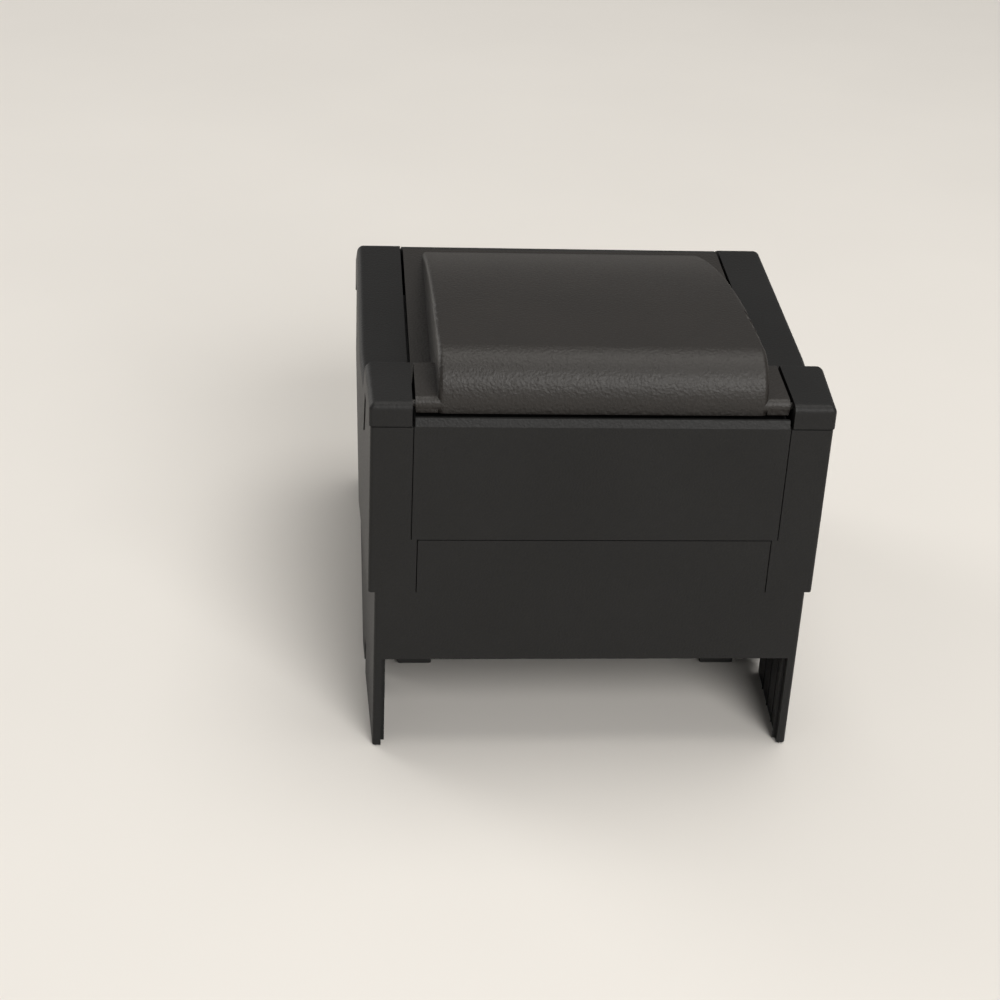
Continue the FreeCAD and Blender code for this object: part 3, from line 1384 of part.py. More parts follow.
def cutter_motor():
    """Small can motor under the bed, with two screw ears."""
    x = CUTTER_GEAR_X
    ahead = CUTTER_GEAR_FORWARD
    top = -BLADE_CLEARANCE - CUTTER_PLATE_WALL
    bottom = top - CUTTER_MOTOR_LENGTH
    can = local_rod(CUTTER_MOTOR_R, x, ahead, bottom, top)
    rim = [edge for edge in can.Edges if edge.BoundBox.ZMax < bottom + RUNNING]
    can = can.makeChamfer(MOTOR_CHAMFER, rim)
    shaft = local_rod(CUTTER_SHAFT_R, x, ahead, top - BITE, BLADE_WALL + RACK_HEIGHT)
    reach = CUTTER_MOTOR_R + CUTTER_EAR_GAP + CUTTER_EAR_HALF
    ear_up = (top - CUTTER_EAR_WALL, top)
    side_ear = local_block((x, x + reach), span(ahead, CUTTER_EAR_HALF), ear_up)
    front_ear = local_block(span(x, CUTTER_EAR_HALF), (ahead, ahead + reach), ear_up)
    return on_cutter(cut_all(fused([can, shaft, side_ear, front_ear]), cutter_screw_holes()))


def fixed_blade():
    """Counter blade on the lid, with a ground bevel under its front edge."""
    top = -BLADE_CLEARANCE
    bottom = top - BLADE_WALL
    front = -FIXED_EDGE
    rear = front - FIXED_LENGTH
    profile = [
        (rear, top),
        (front, top),
        (front, bottom + FIXED_BEVEL),
        (front - FIXED_BEVEL, bottom),
        (rear, bottom),
    ]
    wire = outline(profile, lambda forward, up: V(-BLADE_HALF, -forward, up))
    return on_cutter(Part.Face(wire).extrude(V(2 * BLADE_HALF, 0, 0)))


def cutter_cover():
    """Hollow cap in front of the paper exit: slope, rounded nose and front lip."""
    bottom = FRONT_PANEL_TOP + SEAM
    bar_top = bottom + CROSS_BAR_HEIGHT + SEAM
    outer = side_prism([
        (CAP_REAR, slope_z(CAP_REAR) - CAP_DROP),
        (CAP_REAR, slope_z(CAP_REAR), CAP_EDGE_R),
        (DEPTH, slope_z(DEPTH), TOP_EDGE_R),
        (DEPTH, bottom),
        (PANEL_BACK, bottom),
        (PANEL_BACK, bar_top),
        (PANEL_BACK - CROSS_BAR_DEPTH - SEAM, bar_top),
    ], *span(0, CAP_HALF))
    drop = CAP_WALL / math.cos(math.radians(FRONT_SLOPE))
    start = CAP_REAR - BITE
    hollow = side_prism([
        (start, slope_z(start) - drop),
        (PANEL_BACK, slope_z(PANEL_BACK) - drop),
        (PANEL_BACK, bottom - BITE),
        (start, bottom - BITE),
    ], *span(0, CAP_HALF - CAP_WALL))
    return outer.cut(hollow)


def tear_bar():
    """Saw-toothed steel strip under the rear edge of the cutter cover."""
    count = int(2 * (PAPER_HALF + TEAR_END) / TEAR_PITCH)
    start = -count * TEAR_PITCH / 2
    points = [(start, TEAR_LENGTH)]
    for i in range(count):
        points += [(start + i * TEAR_PITCH, 0), (start + (i + 0.5) * TEAR_PITCH, -TEAR_REACH)]
    points += [(-start, 0), (-start, TEAR_LENGTH)]
    strip = local_prism(points, -CAP_WALL - TEAR_WALL, -CAP_WALL)
    return tilted(strip, FRONT_SLOPE, CAP_REAR, slope_z(CAP_REAR))


def bin_items(inset, top):
    """Side outline of the paper trough."""
    radius = BIN_R + inset
    low = radius * math.sqrt(0.5)
    return [
        (ROLL_DEPTH - radius, top),
        (ROLL_DEPTH - radius, ROLL_Z),
        (ROLL_DEPTH - low, ROLL_Z - low, ROLL_DEPTH, ROLL_Z - radius),
        (ROLL_DEPTH + low, ROLL_Z - low, ROLL_DEPTH + radius, ROLL_Z),
        (ROLL_DEPTH + radius, top),
    ]


def lever_depths(extra):
    return span(ROLL_DEPTH, LEVER_WIDTH / 2 + extra)


def paper_bin():
    """Drop-in trough hung from a deck that lies under the rails, with feet on the recess roof."""
    outer_half = BIN_HALF + BIN_WALL
    trough = side_prism(bin_items(BIN_WALL, DECK_Z), *span(0, outer_half))
    deck_depth = (LEDGE_DEPTH + SEAM, DECK_FRONT_DEPTH)
    deck = block(span(0, DECK_HALF), deck_depth, (DECK_Z - BIN_WALL, DECK_Z))
    corner = block((PANEL_HALF, DECK_HALF + BITE), (0, SEAM_DROP_END + SEAM), (0, SEAM_Z))
    deck = cut_all(deck, both_sides(corner))
    feet = []
    for inset in BIN_FOOT_INSETS:
        depth = RECESS_DEPTH - inset
        feet.append(block(span(0, outer_half), (depth, depth + BIN_WALL), (RECESS_ROOF, ROLL_Z - BIN_R / 2)))
    tray = fused([trough, deck] + feet + lever_ears())
    inside = side_prism(bin_items(0.0, DECK_Z + BITE), *span(0, BIN_HALF))
    window_x = (BIN_HALF - BITE, outer_half)
    window_z = span(LEVER_NOSE_Z, LEVER_NOSE_HALF + 2 * LEVER_PLAY)
    window = block(window_x, lever_depths(LEVER_PLAY), window_z)
    pin_room = rod_y(LEVER_PIN_R + RUNNING, *lever_depths(BUTTON_GAP + BIN_WALL + BITE), LEVER_X, LEVER_Z)
    return cut_all(tray, [inside, window, pin_room])


def lever_ears():
    """Two ears on the trough's right wall that hold the lever's pin."""
    near, far = lever_depths(BUTTON_GAP)
    x = (BIN_HALF + BIN_WALL / 2, LEVER_X + LEVER_PIN_R + EAR_WALL)
    depths = ((near - BIN_WALL, near), (far, far + BIN_WALL))
    return [block(x, depth, span(LEVER_Z, EAR_HALF)) for depth in depths]


def near_end_lever():
    """Feeler that hangs beside the trough, with its nose through the window."""
    depth = lever_depths(0.0)
    hub = rod_y(LEVER_HUB_R, *depth, LEVER_X, LEVER_Z)
    arm = block(span(LEVER_X, LEVER_WALL / 2), depth, (LEVER_Z - LEVER_LENGTH, LEVER_Z))
    tip = BIN_HALF - LEVER_NOSE
    low, high = span(LEVER_NOSE_Z, LEVER_NOSE_HALF)
    nose = front_prism([
        (LEVER_X, low),
        (tip + LEVER_NOSE / 2, low),
        (tip, LEVER_NOSE_Z),
        (LEVER_X, high),
    ], *depth)
    pin = rod_y(LEVER_PIN_R, *lever_depths(BUTTON_GAP + BIN_WALL), LEVER_X, LEVER_Z)
    return fused([hub, arm, nose, pin])


def main_board():
    """Circuit board with its chips, capacitors and ribbon header."""
    front = BOARD_REAR + BOARD_LENGTH
    seated = BOARD_TOP - BOARD_WALL / 2
    chip_z = (seated, BOARD_TOP + CHIP_HEIGHT)
    chip_depth = BOARD_REAR + CHIP_FORWARD
    header_depth = (front - HEADER_INSET, front - HEADER_INSET + HEADER_WIDTH)
    pieces = [
        block(span(0, BOARD_HALF), (BOARD_REAR, front), (BOARD_Z, BOARD_TOP)),
        block(span(PROCESSOR_X, PROCESSOR_HALF), span(chip_depth, PROCESSOR_HALF), chip_z),
        block(span(MEMORY_X, MEMORY_HALF_X), span(chip_depth, MEMORY_HALF_Y), chip_z),
        block(span(0, HEADER_HALF), header_depth, (seated, BOARD_TOP + HEADER_HEIGHT)),
    ]
    can_top = BOARD_TOP + CAN_HEIGHT
    pieces += [rod_z(CAN_R, seated, can_top, CAN_X, BOARD_REAR + forward) for forward in CAN_FORWARDS]
    through = (BOARD_Z - BITE, BOARD_TOP + BITE)
    return cut_all(fused(pieces), [screw_hole(*through, x, depth) for x, depth in board_screw_places()])


def connector_plate():
    """Steel plate behind the window of the cable recess, holed for the sockets."""
    top = window_z()[1] + WINDOW_MARGIN
    plate = block(span(0, PLATE_HALF), (RECESS_WALL, SOCKET_BACK), (FLOOR_Z, top))
    through = (RECESS_WALL - BITE, SOCKET_BACK + BITE)
    gap = CONNECTOR_CLEARANCE
    drawer_z = (BOARD_TOP - gap, BOARD_TOP + DRAWER_HEIGHT + gap)
    return cut_all(plate, [
        rod_y(POWER_COLLAR_R + gap, *through, POWER_X, BOARD_TOP + POWER_HEIGHT / 2),
        block(span(DRAWER_X, DRAWER_HALF + gap), through, drawer_z),
        front_prism(data_shell(gap), *through),
    ])


def power_inlet():
    """Round low-voltage inlet: collar, ring-shaped cavity and a contact post."""
    mid = BOARD_TOP + POWER_HEIGHT / 2
    cavity_end = SOCKET_MOUTH + POWER_CAVITY
    body_depth = (SOCKET_BACK, SOCKET_BACK + POWER_LENGTH)
    body = block(span(POWER_X, POWER_HALF), body_depth, (BOARD_TOP, BOARD_TOP + POWER_HEIGHT))
    collar = rod_y(POWER_COLLAR_R, SOCKET_MOUTH, SOCKET_BACK, POWER_X, mid)
    cavity = rod_y(POWER_CAVITY_R, SOCKET_MOUTH - BITE, cavity_end, POWER_X, mid)
    post = rod_y(POWER_POST_R, SOCKET_MOUTH + POWER_POST_BACK, cavity_end + BITE, POWER_X, mid)
    return fused([body, collar]).cut(cavity).fuse(post).removeSplitter()


def drawer_socket():
    """Modular socket for the cash drawer, open to the rear with a latch notch."""
    mid = BOARD_TOP + DRAWER_HEIGHT / 2
    tall = DRAWER_CAVITY_HEIGHT / 2
    body_depth = (SOCKET_MOUTH, SOCKET_MOUTH + DRAWER_LENGTH)
    body = block(span(DRAWER_X, DRAWER_HALF), body_depth, (BOARD_TOP, BOARD_TOP + DRAWER_HEIGHT))
    start = SOCKET_MOUTH - BITE
    mouth_depth = (start, SOCKET_MOUTH + DRAWER_CAVITY)
    mouth = block(span(DRAWER_X, DRAWER_CAVITY_HALF), mouth_depth, span(mid, tall))
    latch_z = (mid - tall - LATCH_HALF, mid)
    latch = block(span(DRAWER_X, LATCH_HALF), (start, SOCKET_MOUTH + LATCH_DEPTH), latch_z)
    return cut_all(body, [mouth, latch])


def data_shell(extra):
    """Tapered outline of the data connector's shell."""
    low, high = span(BOARD_TOP + DATA_HEIGHT / 2, DATA_SHELL_HEIGHT / 2 + extra)
    wide = DATA_SHELL_HALF + extra
    narrow = wide - DATA_SHELL_HEIGHT * math.tan(math.radians(DATA_TAPER))
    return [
        (DATA_X - wide, high, DATA_CORNER_R),
        (DATA_X + wide, high, DATA_CORNER_R),
        (DATA_X + narrow, low, DATA_CORNER_R),
        (DATA_X - narrow, low, DATA_CORNER_R),
    ]


def interface_socket():
    """Data connector: tapered shell with two rows of contact holes, and a flanged body."""
    shell = front_prism(data_shell(0.0), SOCKET_MOUTH, SOCKET_BACK + BITE)
    body_depth = (SOCKET_BACK, SOCKET_BACK + DATA_LENGTH)
    body = block(span(DATA_X, DATA_HALF), body_depth, (BOARD_TOP, BOARD_TOP + DATA_HEIGHT))
    mid = BOARD_TOP + DATA_HEIGHT / 2
    depth = (SOCKET_MOUTH - BITE, SOCKET_MOUTH + CONTACT_DEPTH)
    holes = []
    for row, count in zip((mid - CONTACT_ROW, mid + CONTACT_ROW), CONTACT_COUNTS):
        for i in range(count):
            x = DATA_X + CONTACT_PITCH * (i - (count - 1) / 2)
            holes.append(block(span(x, CONTACT_HALF), depth, span(row, CONTACT_HALF)))
    return cut_all(fused([shell, body]), holes)


def feed_button():
    """Bar-shaped key, kept in by a flange behind the panel."""
    tall = FEED_HEIGHT / 2
    face = DEPTH - FEED_SINK
    back = PANEL_BACK - BUTTON_GAP
    key = block(span(FEED_X, FEED_HALF), (back - BUTTON_FLANGE / 2, face), span(PANEL_MID_Z, tall))
    rim = [edge for edge in key.Edges if edge.BoundBox.YMax < y_at(face) + RUNNING]
    key = key.makeFillet(FEED_EDGE_R, rim)
    wide = FEED_HALF + BUTTON_FLANGE
    flange = block(span(FEED_X, wide), (back - BUTTON_FLANGE, back), span(PANEL_MID_Z, tall + BUTTON_FLANGE))
    return fused([key, flange])


def feed_switch():
    """Push switch on the panel board, just behind the feed button."""
    tip = PANEL_BACK - 2 * BUTTON_GAP - BUTTON_FLANGE - BUTTON_TRAVEL + KEY_GAP
    case_depth = (PANEL_BOARD_DEPTH, tip - KEY_STEM)
    case = block(span(FEED_X, KEY_SWITCH_HALF), case_depth, span(PANEL_MID_Z, KEY_SWITCH_HALF))
    return case.fuse(rod_y(KEY_STEM_R, PANEL_BOARD_DEPTH, tip, FEED_X, PANEL_MID_Z))


def panel_board():
    depth = (PANEL_BOARD_DEPTH - BOARD_WALL, PANEL_BOARD_DEPTH)
    return block(span(0, PANEL_BOARD_HALF), depth, span(PANEL_MID_Z, PANEL_BOARD_HEIGHT / 2))


def indicator_lenses():
    """Light pipes from the panel board to the face of the front panel."""
    depth = (PANEL_BOARD_DEPTH, DEPTH - FEED_SINK)
    return Part.makeCompound([lens_bar(x, 0.0, depth) for x in lens_places()])


def switch_body():
    """Snap-in rocker switch frame with a bezel on the front wall."""
    front = LOWER_FRONT
    back = front - SWITCH_DEPTH
    bezel_x = span(ROCKER_X, SWITCH_HALF + SWITCH_BEZEL)
    bezel = block(bezel_x, (front, front + SWITCH_FLANGE), span(ROCKER_Z, SWITCH_TALL + SWITCH_BEZEL))
    body = block(span(ROCKER_X, SWITCH_HALF), (back, front + BITE), span(ROCKER_Z, SWITCH_TALL))
    room_x = span(ROCKER_X, SWITCH_HALF - SWITCH_WALL)
    room_z = span(ROCKER_Z, SWITCH_TALL - SWITCH_WALL)
    room = block(room_x, (back + SWITCH_FLOOR, front + SWITCH_FLANGE + BITE), room_z)
    pin_reach = SWITCH_HALF - SWITCH_WALL + SWITCH_PIN_BITE
    pins = rod_x(ROCKER_PIN_R + RUNNING, *span(ROCKER_X, pin_reach), ROCKER_AXIS, ROCKER_Z)
    return cut_all(fused([bezel, body]), [room, pins])


def power_rocker():
    """Rocker with two slanted faces that meet in a shallow vee over its pivot."""
    tall = ROCKER_HEIGHT / 2
    waist = ROCKER_AXIS + ROCKER_BODY / 2 - ROCKER_DISH
    rim = waist + tall * math.tan(math.radians(ROCKER_TILT))
    back = ROCKER_AXIS - ROCKER_BODY / 2
    back_tall = tall - ROCKER_DRAFT
    shape = side_prism([
        (waist, ROCKER_Z),
        (rim, ROCKER_Z + tall),
        (back, ROCKER_Z + back_tall),
        (back - ROCKER_KEEL, ROCKER_Z),
        (back, ROCKER_Z - back_tall),
        (rim, ROCKER_Z - tall),
    ], *span(ROCKER_X, ROCKER_HALF))
    pin_reach = SWITCH_HALF - SWITCH_WALL + ROCKER_PIN_BITE
    rocker = shape.fuse(rod_x(ROCKER_PIN_R, *span(ROCKER_X, pin_reach), ROCKER_AXIS, ROCKER_Z))
    rocker.rotate(V(ROCKER_X, y_at(ROCKER_AXIS), ROCKER_Z), V(1, 0, 0), ROCKER_TILT)
    return rocker


NODES = [
    lower_case, left_side_cover, right_side_cover, rear_panel, front_panel, upper_case, cutter_cover,
    tear_bar, rubber_feet, roll_cover, platen_carrier, hinge_pins, fixed_blade, platen_bushes,
    platen_roller, platen_shaft, platen_gear, paper_bin, near_end_lever, mechanism_frame, thermal_head,
    head_heat_sink, head_pivot_shaft, head_springs, feed_motor, motor_pinion, idler_gear, idler_stud,
    cutter_frame, moving_blade, blade_rack, cutter_motor, cutter_gear, main_board, connector_plate,
    power_inlet, drawer_socket, interface_socket, panel_board, feed_switch, indicator_lenses,
    switch_body, power_rocker, feed_button, release_button, mechanism_screws, board_screws,
    cutter_screws, motor_screws,
]

os.makedirs("parts", exist_ok=True)
for node in NODES:
    node().exportStep(f"parts/{node.__name__}.step")
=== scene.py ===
"""Looks of the receipt printer: materials, edge rounds, floor, soft light and camera."""

import json
import math

import bpy
from mathutils import Matrix, Vector


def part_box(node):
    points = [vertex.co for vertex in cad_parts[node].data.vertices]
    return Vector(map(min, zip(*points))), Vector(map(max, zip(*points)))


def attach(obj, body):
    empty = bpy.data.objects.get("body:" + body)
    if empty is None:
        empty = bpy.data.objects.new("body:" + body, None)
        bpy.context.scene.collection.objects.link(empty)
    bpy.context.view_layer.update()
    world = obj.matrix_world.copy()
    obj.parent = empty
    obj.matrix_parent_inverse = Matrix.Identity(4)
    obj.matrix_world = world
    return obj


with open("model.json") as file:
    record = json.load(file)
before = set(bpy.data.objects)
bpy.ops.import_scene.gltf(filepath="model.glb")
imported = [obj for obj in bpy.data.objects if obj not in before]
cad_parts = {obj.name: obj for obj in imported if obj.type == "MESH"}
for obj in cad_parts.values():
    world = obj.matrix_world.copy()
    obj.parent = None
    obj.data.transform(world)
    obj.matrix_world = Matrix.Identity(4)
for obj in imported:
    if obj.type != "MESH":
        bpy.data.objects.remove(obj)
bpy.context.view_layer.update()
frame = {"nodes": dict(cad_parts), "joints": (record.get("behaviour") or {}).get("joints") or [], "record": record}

# Camera
CAMERA_PLACE = (0.0833, 0.6488, 0.4013)
CAMERA_RIGHT = (-0.99662, 0.06976, 0.04335)
CAMERA_UP = (0.00399, -0.48610, 0.87388)
CAMERA_BACK = (0.08204, 0.87111, 0.48419)
SENSOR = 36.0
LENS = 72.29

# Floor and light
FLOOR_HALF = 6.0
FLOOR_COLOUR = (0.77, 0.745, 0.71)
WORLD_COLOUR = (1.0, 0.985, 0.96)
WORLD_STRENGTH = 0.22
LAMP_TARGET = (0.0, 0.0, 0.07)

# Colours, as linear light
CASE_BLACK = (0.0085, 0.0085, 0.0086)
LID_BLACK = (0.0130, 0.0108, 0.0092)
INNER_BLACK = (0.026, 0.026, 0.028)
CONTROL_GREY = (0.052, 0.053, 0.057)
SOCKET_BLACK = (0.012, 0.012, 0.013)
RUBBER_BLACK = (0.014, 0.014, 0.014)
RUBBER_DUSTY = (0.026, 0.026, 0.025)
GEAR_WHITE = (0.72, 0.70, 0.63)
STEEL_GREY = (0.56, 0.56, 0.55)
BLADE_GREY = (0.66, 0.66, 0.66)
ALUMINIUM_GREY = (0.74, 0.74, 0.75)
BRASS_YELLOW = (0.72, 0.52, 0.22)

# Closing strips under the rear ends of the lid's flanges, just inside the lid's own faces
STRIP_INSET = 0.0001
STRIP_WIDTH = 0.0070
STRIP_LENGTH = 0.0029
STRIP_HEIGHT = 0.0022

# Edge rounds of the rigid pieces
MOULDED_EDGE = 0.00022
PRESSED_EDGE = 0.0001
EDGE_ANGLE = math.radians(28)
FLAT_ANGLE = math.radians(0.6)
EDGE_STEPS = 2
WELD_GAP = 0.000002
MOULDED_SLOTS = ("case_plastic", "lid_plastic", "control_plastic")
SHARP_SLOTS = ("blade_steel", "gear_plastic", "lens", "circuit_board")
ROUNDED_NODES = ("roll_cover",)


def new_material(name):
    """Material with a shader, object coordinates and nothing else."""
    material = bpy.data.materials.new(name)
    material.use_nodes = True
    tree = material.node_tree
    shader = tree.nodes["Principled BSDF"]
    coords = tree.nodes.new("ShaderNodeTexCoord")
    return material, tree, shader, coords.outputs["Object"]


def stretched(tree, coords, scale):
    mapping = tree.nodes.new("ShaderNodeMapping")
    mapping.inputs["Scale"].default_value = scale
    tree.links.new(coords, mapping.inputs["Vector"])
    return mapping.outputs["Vector"]


def noise(tree, coords, scale, detail=3.0, roughness=0.55):
    node = tree.nodes.new("ShaderNodeTexNoise")
    node.inputs["Scale"].default_value = scale
    node.inputs["Detail"].default_value = detail
    node.inputs["Roughness"].default_value = roughness
    tree.links.new(coords, node.inputs["Vector"])
    return node.outputs["Fac"]


def cells(tree, coords, scale):
    node = tree.nodes.new("ShaderNodeTexVoronoi")
    node.inputs["Scale"].default_value = scale
    tree.links.new(coords, node.inputs["Vector"])
    return node.outputs["Distance"]


def ramp(tree, value, low, high, start=0.3, end=0.7):
    node = tree.nodes.new("ShaderNodeValToRGB")
    node.color_ramp.elements[0].position = start
    node.color_ramp.elements[0].color = (*low, 1.0)
    node.color_ramp.elements[1].position = end
    node.color_ramp.elements[1].color = (*high, 1.0)
    tree.links.new(value, node.inputs["Fac"])
    return node.outputs["Color"]


def spread(tree, value, low, high):
    node = tree.nodes.new("ShaderNodeMapRange")
    node.inputs["To Min"].default_value = low
    node.inputs["To Max"].default_value = high
    tree.links.new(value, node.inputs["Value"])
    return node.outputs["Result"]


def add_bump(tree, shader, heights):
    """Chains bump nodes: each has its own height, strength and depth in metres."""
    normal = None
    for height, strength, distance in heights:
        node = tree.nodes.new("ShaderNodeBump")
        node.inputs["Strength"].default_value = strength
        node.inputs["Distance"].default_value = distance
        tree.links.new(height, node.inputs["Height"])
        if normal:
            tree.links.new(normal, node.inputs["Normal"])
        normal = node.outputs["Normal"]
    tree.links.new(normal, shader.inputs["Normal"])


def shade(colour, factor):
    return tuple(channel * factor for channel in colour)


def textured_plastic(name, colour, roughness, grain, depth, gloss=0.5):
    """Moulded plastic with a spark-eroded grain and faint cloudy variation."""
    material, tree, shader, coords = new_material(name)
    clouds = noise(tree, coords, 28.0, 4.0)
    fine = noise(tree, coords, grain, 2.0)
    pits = cells(tree, coords, grain * 0.7)
    tint = ramp(tree, clouds, shade(colour, 0.88), shade(colour, 1.12))
    tree.links.new(tint, shader.inputs["Base Color"])
    tree.links.new(spread(tree, fine, roughness - 0.09, roughness + 0.09), shader.inputs["Roughness"])
    shader.inputs["Specular IOR Level"].default_value = gloss
    add_bump(tree, shader, [(fine, 0.55, depth), (pits, 0.35, depth)])
    return material


def smooth_plastic(name, colour, roughness, gloss=0.5):
    """Smooth moulding with slight flow marks."""
    material, tree, shader, coords = new_material(name)
    flow = noise(tree, stretched(tree, coords, (1.0, 0.35, 1.0)), 45.0, 3.0)
    fine = noise(tree, coords, 900.0, 2.0)
    tint = ramp(tree, flow, shade(colour, 0.92), shade(colour, 1.08))
    tree.links.new(tint, shader.inputs["Base Color"])
    tree.links.new(spread(tree, flow, roughness - 0.06, roughness + 0.06), shader.inputs["Roughness"])
    shader.inputs["Specular IOR Level"].default_value = gloss
    add_bump(tree, shader, [(fine, 0.12, 0.00004)])
    return material


def natural_gear(name):
    """Milky moulding that lets some light in."""
    material = smooth_plastic(name, GEAR_WHITE, 0.42)
    shader = material.node_tree.nodes["Principled BSDF"]
    shader.inputs["Subsurface Weight"].default_value = 0.12
    shader.inputs["Subsurface Scale"].default_value = 0.0015
    return material


def rubber(name):
    material, tree, shader, coords = new_material(name)
    dust = noise(tree, coords, 160.0, 5.0, 0.65)
    fine = noise(tree, coords, 1600.0, 2.0)
    tree.links.new(ramp(tree, dust, RUBBER_BLACK, RUBBER_DUSTY), shader.inputs["Base Color"])
    tree.links.new(spread(tree, dust, 0.72, 0.9), shader.inputs["Roughness"])
    shader.inputs["Sheen Weight"].default_value = 0.08
    add_bump(tree, shader, [(fine, 0.4, 0.00008)])
    return material


def brushed_metal(name, colour, roughness, grain=(0.04, 1.0, 1.0), marks=900.0):
    """Metal with fine parallel marks along one direction and faint stains."""
    material, tree, shader, coords = new_material(name)
    lines = noise(tree, stretched(tree, coords, grain), marks, 4.0, 0.6)
    stains = noise(tree, coords, 60.0, 4.0)
    tree.links.new(ramp(tree, stains, shade(colour, 0.88), colour), shader.inputs["Base Color"])
    tree.links.new(spread(tree, lines, roughness - 0.1, roughness + 0.12), shader.inputs["Roughness"])
    shader.inputs["Metallic"].default_value = 1.0
    add_bump(tree, shader, [(lines, 0.18, 0.00004)])
    return material


def plated_can(name):
    """Zinc-plated motor can with the flake of its plating."""
    material, tree, shader, coords = new_material(name)
    flakes = cells(tree, coords, 420.0)
    clouds = noise(tree, coords, 120.0, 4.0)
    tree.links.new(ramp(tree, clouds, (0.34, 0.35, 0.36), (0.46, 0.46, 0.46)), shader.inputs["Base Color"])
    tree.links.new(spread(tree, flakes, 0.32, 0.55), shader.inputs["Roughness"])
    shader.inputs["Metallic"].default_value = 1.0
    add_bump(tree, shader, [(flakes, 0.1, 0.00005)])
    return material


def glazed_ceramic(name):
    material, tree, shader, coords = new_material(name)
    specks = noise(tree, coords, 500.0, 3.0)
    tree.links.new(ramp(tree, specks, (0.70, 0.68, 0.60), (0.80, 0.78, 0.72)), shader.inputs["Base Color"])
    tree.links.new(spread(tree, specks, 0.12, 0.24), shader.inputs["Roughness"])
    shader.inputs["Coat Weight"].default_value = 0.5
    add_bump(tree, shader, [(specks, 0.06, 0.00003)])
    return material


def circuit_board(name):
    """Solder mask over copper runs and pads."""
    material, tree, shader, coords = new_material(name)
    runs = tree.nodes.new("ShaderNodeTexBrick")
    runs.offset = 0.37
    runs.inputs["Scale"].default_value = 170.0
    runs.inputs["Mortar Size"].default_value = 0.045
    runs.inputs["Color1"].default_value = (0.012, 0.085, 0.034, 1.0)
    runs.inputs["Color2"].default_value = (0.010, 0.070, 0.028, 1.0)
    runs.inputs["Mortar"].default_value = (0.032, 0.165, 0.062, 1.0)
    tree.links.new(coords, runs.inputs["Vector"])
    tree.links.new(runs.outputs["Color"], shader.inputs["Base Color"])
    fine = noise(tree, coords, 700.0, 2.0)
    tree.links.new(spread(tree, fine, 0.28, 0.42), shader.inputs["Roughness"])
    add_bump(tree, shader, [(runs.outputs["Fac"], 0.3, 0.00003), (fine, 0.08, 0.00003)])
    return material


def light_pipe(name):
    material, tree, shader, coords = new_material(name)
    haze = noise(tree, coords, 300.0, 3.0)
    tree.links.new(ramp(tree, haze, (0.56, 0.74, 0.55), (0.70, 0.84, 0.68)), shader.inputs["Base Color"])
    tree.links.new(spread(tree, haze, 0.12, 0.28), shader.inputs["Roughness"])
    shader.inputs["Transmission Weight"].default_value = 0.55
    add_bump(tree, shader, [(haze, 0.05, 0.00003)])
    return material


def make_materials():
    return {
        "case_plastic": textured_plastic("case_plastic", CASE_BLACK, 0.52, 1500.0, 0.00016, 0.27),
        "lid_plastic": textured_plastic("lid_plastic", LID_BLACK, 0.50, 1250.0, 0.00028, 0.46),
        "inner_plastic": textured_plastic("inner_plastic", INNER_BLACK, 0.55, 1900.0, 0.00010),
        "control_plastic": smooth_plastic("control_plastic", CONTROL_GREY, 0.40),
        "rubber": rubber("rubber"),
        "gear_plastic": natural_gear("gear_plastic"),
        "steel": brushed_metal("steel", STEEL_GREY, 0.36),
        "blade_steel": brushed_metal("blade_steel", BLADE_GREY, 0.24, (1.0, 0.04, 1.0), 1200.0),
        "aluminium": brushed_metal("aluminium", ALUMINIUM_GREY, 0.40, (0.03, 1.0, 1.0), 700.0),
        "ceramic": glazed_ceramic("ceramic"),
        "brass": brushed_metal("brass", BRASS_YELLOW, 0.30, (1.0, 0.2, 1.0), 1000.0),
        "motor_can": plated_can("motor_can"),
        "circuit_board": circuit_board("circuit_board"),
        "socket_plastic": smooth_plastic("socket_plastic", SOCKET_BLACK, 0.36),
        "lens": light_pipe("lens"),
    }


def soften_edges(piece, width):
    """Joins the facets into whole faces, then rounds the sharp edges a little."""
    weld = piece.modifiers.new("weld", "WELD")
    weld.merge_threshold = WELD_GAP
    flat = piece.modifiers.new("flat", "DECIMATE")
    flat.decimate_type = "DISSOLVE"
    flat.angle_limit = FLAT_ANGLE
    edge = piece.modifiers.new("edge", "BEVEL")
    edge.width = width
    edge.segments = EDGE_STEPS
    edge.limit_method = "ANGLE"
    edge.angle_limit = EDGE_ANGLE
    edge.use_clamp_overlap = True
    edge.harden_normals = False
    normals = piece.modifiers.new("normals", "WEIGHTED_NORMAL")
    normals.keep_sharp = True


def even_shading(piece):
    """Shades a piece that has its own edge rounds, with the large faces setting the normals."""
    weld = piece.modifiers.new("weld", "WELD")
    weld.merge_threshold = WELD_GAP
    normals = piece.modifiers.new("normals", "WEIGHTED_NORMAL")
    normals.keep_sharp = True


def dress_nodes(materials):
    """Gives each carried node the material of its slot, and softer edges where it is moulded."""
    for row in frame["record"]["subparts"]:
        piece = frame["nodes"][row["node"]]
        slot = row["material_slot"]
        piece.data.materials.clear()
        piece.data.materials.append(materials[slot])
        if row["node"] in ROUNDED_NODES:
            even_shading(piece)
            continue
        if slot in MOULDED_SLOTS:
            soften_edges(piece, MOULDED_EDGE)
        elif slot not in SHARP_SLOTS:
            soften_edges(piece, PRESSED_EDGE)


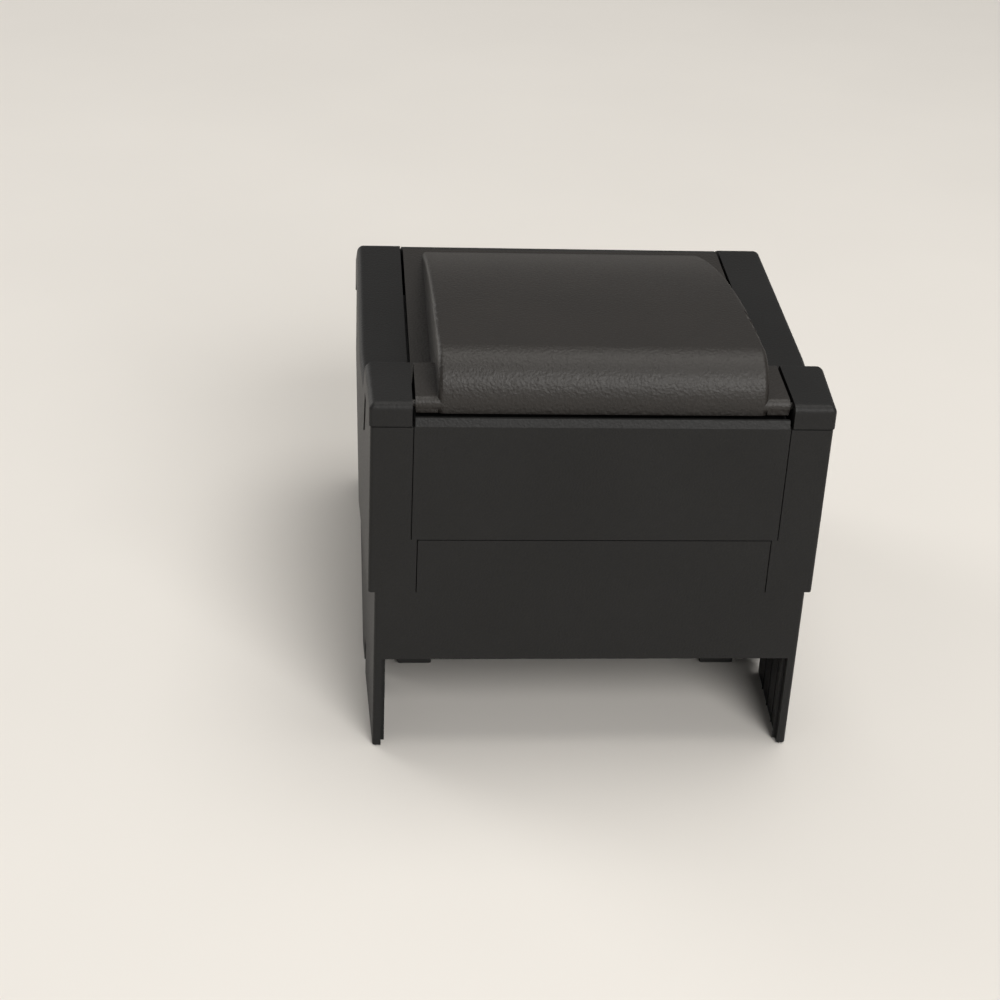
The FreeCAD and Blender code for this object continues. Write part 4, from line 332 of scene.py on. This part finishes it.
def add_box(name, low, high, material):
    mesh = bpy.data.meshes.new(name)
    corners = [(x, y, z) for z in (low[2], high[2]) for y in (low[1], high[1]) for x in (low[0], high[0])]
    sides = [(0, 2, 3, 1), (4, 5, 7, 6), (0, 1, 5, 4), (2, 6, 7, 3), (0, 4, 6, 2), (1, 3, 7, 5)]
    mesh.from_pydata(corners, [], sides)
    mesh.materials.append(material)
    piece = bpy.data.objects.new(name, mesh)
    bpy.context.collection.objects.link(piece)
    return piece


def add_lid_strips(material):
    """Squares off the lid's rear edge beside the dome, below the hinge, where the knuckles are round."""
    lid_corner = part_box("roll_cover")[1]
    outer = lid_corner.x - STRIP_INSET
    inner = outer - STRIP_WIDTH
    rear = lid_corner.y - STRIP_INSET
    top = next(joint["pos_m"][2] for joint in frame["joints"] if joint["name"] == "cover_hinge")
    for side, near, far in (("left", inner, outer), ("right", -outer, -inner)):
        low = (near, rear - STRIP_LENGTH, top - STRIP_HEIGHT)
        strip = add_box(f"{side}_lid_strip", low, (far, rear, top), material)
        soften_edges(strip, MOULDED_EDGE)
        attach(strip, "cover")


def make_floor():
    """Wide pale floor with a faint paper-like unevenness."""
    mesh = bpy.data.meshes.new("floor")
    half = FLOOR_HALF
    corners = [(-half, -half, 0), (half, -half, 0), (half, half, 0), (-half, half, 0)]
    mesh.from_pydata(corners, [], [(0, 1, 2, 3)])
    floor = bpy.data.objects.new("floor", mesh)
    bpy.context.collection.objects.link(floor)
    material, tree, shader, coords = new_material("floor")
    clouds = noise(tree, coords, 5.0, 3.0)
    tint = ramp(tree, clouds, shade(FLOOR_COLOUR, 0.985), shade(FLOOR_COLOUR, 1.015))
    tree.links.new(tint, shader.inputs["Base Color"])
    shader.inputs["Roughness"].default_value = 0.55
    shader.inputs["Specular IOR Level"].default_value = 0.25
    mesh.materials.append(material)


def add_lamp(name, place, target, size, power, colour):
    lamp = bpy.data.lights.new(name, "AREA")
    lamp.shape = "DISK"
    lamp.size = size
    lamp.energy = power
    lamp.color = colour
    holder = bpy.data.objects.new(name, lamp)
    holder.location = place
    holder.rotation_euler = (Vector(target) - Vector(place)).to_track_quat("-Z", "Y").to_euler()
    bpy.context.collection.objects.link(holder)


def make_light():
    """Main light behind the camera, with a weaker one overhead and a fill towards the front."""
    world = bpy.data.worlds.new("studio")
    world.use_nodes = True
    background = world.node_tree.nodes["Background"]
    background.inputs["Color"].default_value = (*WORLD_COLOUR, 1.0)
    background.inputs["Strength"].default_value = WORLD_STRENGTH
    bpy.context.scene.world = world
    add_lamp("window", (-0.7, 2.1, 1.5), LAMP_TARGET, 1.5, 50.0, (1.0, 0.98, 0.95))
    add_lamp("overhead", (-0.3, -0.2, 2.2), LAMP_TARGET, 1.8, 26.0, (1.0, 0.97, 0.92))
    add_lamp("fill", (2.0, -1.7, 1.0), LAMP_TARGET, 1.4, 22.0, (1.0, 0.98, 0.95))


def make_camera():
    camera = bpy.data.cameras.new("camera")
    camera.sensor_width = SENSOR
    camera.lens = LENS
    camera.clip_start = 0.01
    holder = bpy.data.objects.new("camera", camera)
    turn = Matrix((CAMERA_RIGHT, CAMERA_UP, CAMERA_BACK)).transposed().to_4x4()
    holder.matrix_world = Matrix.Translation(CAMERA_PLACE) @ turn
    bpy.context.collection.objects.link(holder)
    bpy.context.scene.camera = holder


materials = make_materials()
dress_nodes(materials)
add_lid_strips(materials["lid_plastic"])
make_floor()
make_light()
make_camera()
bpy.context.scene.view_settings.view_transform = "Standard"
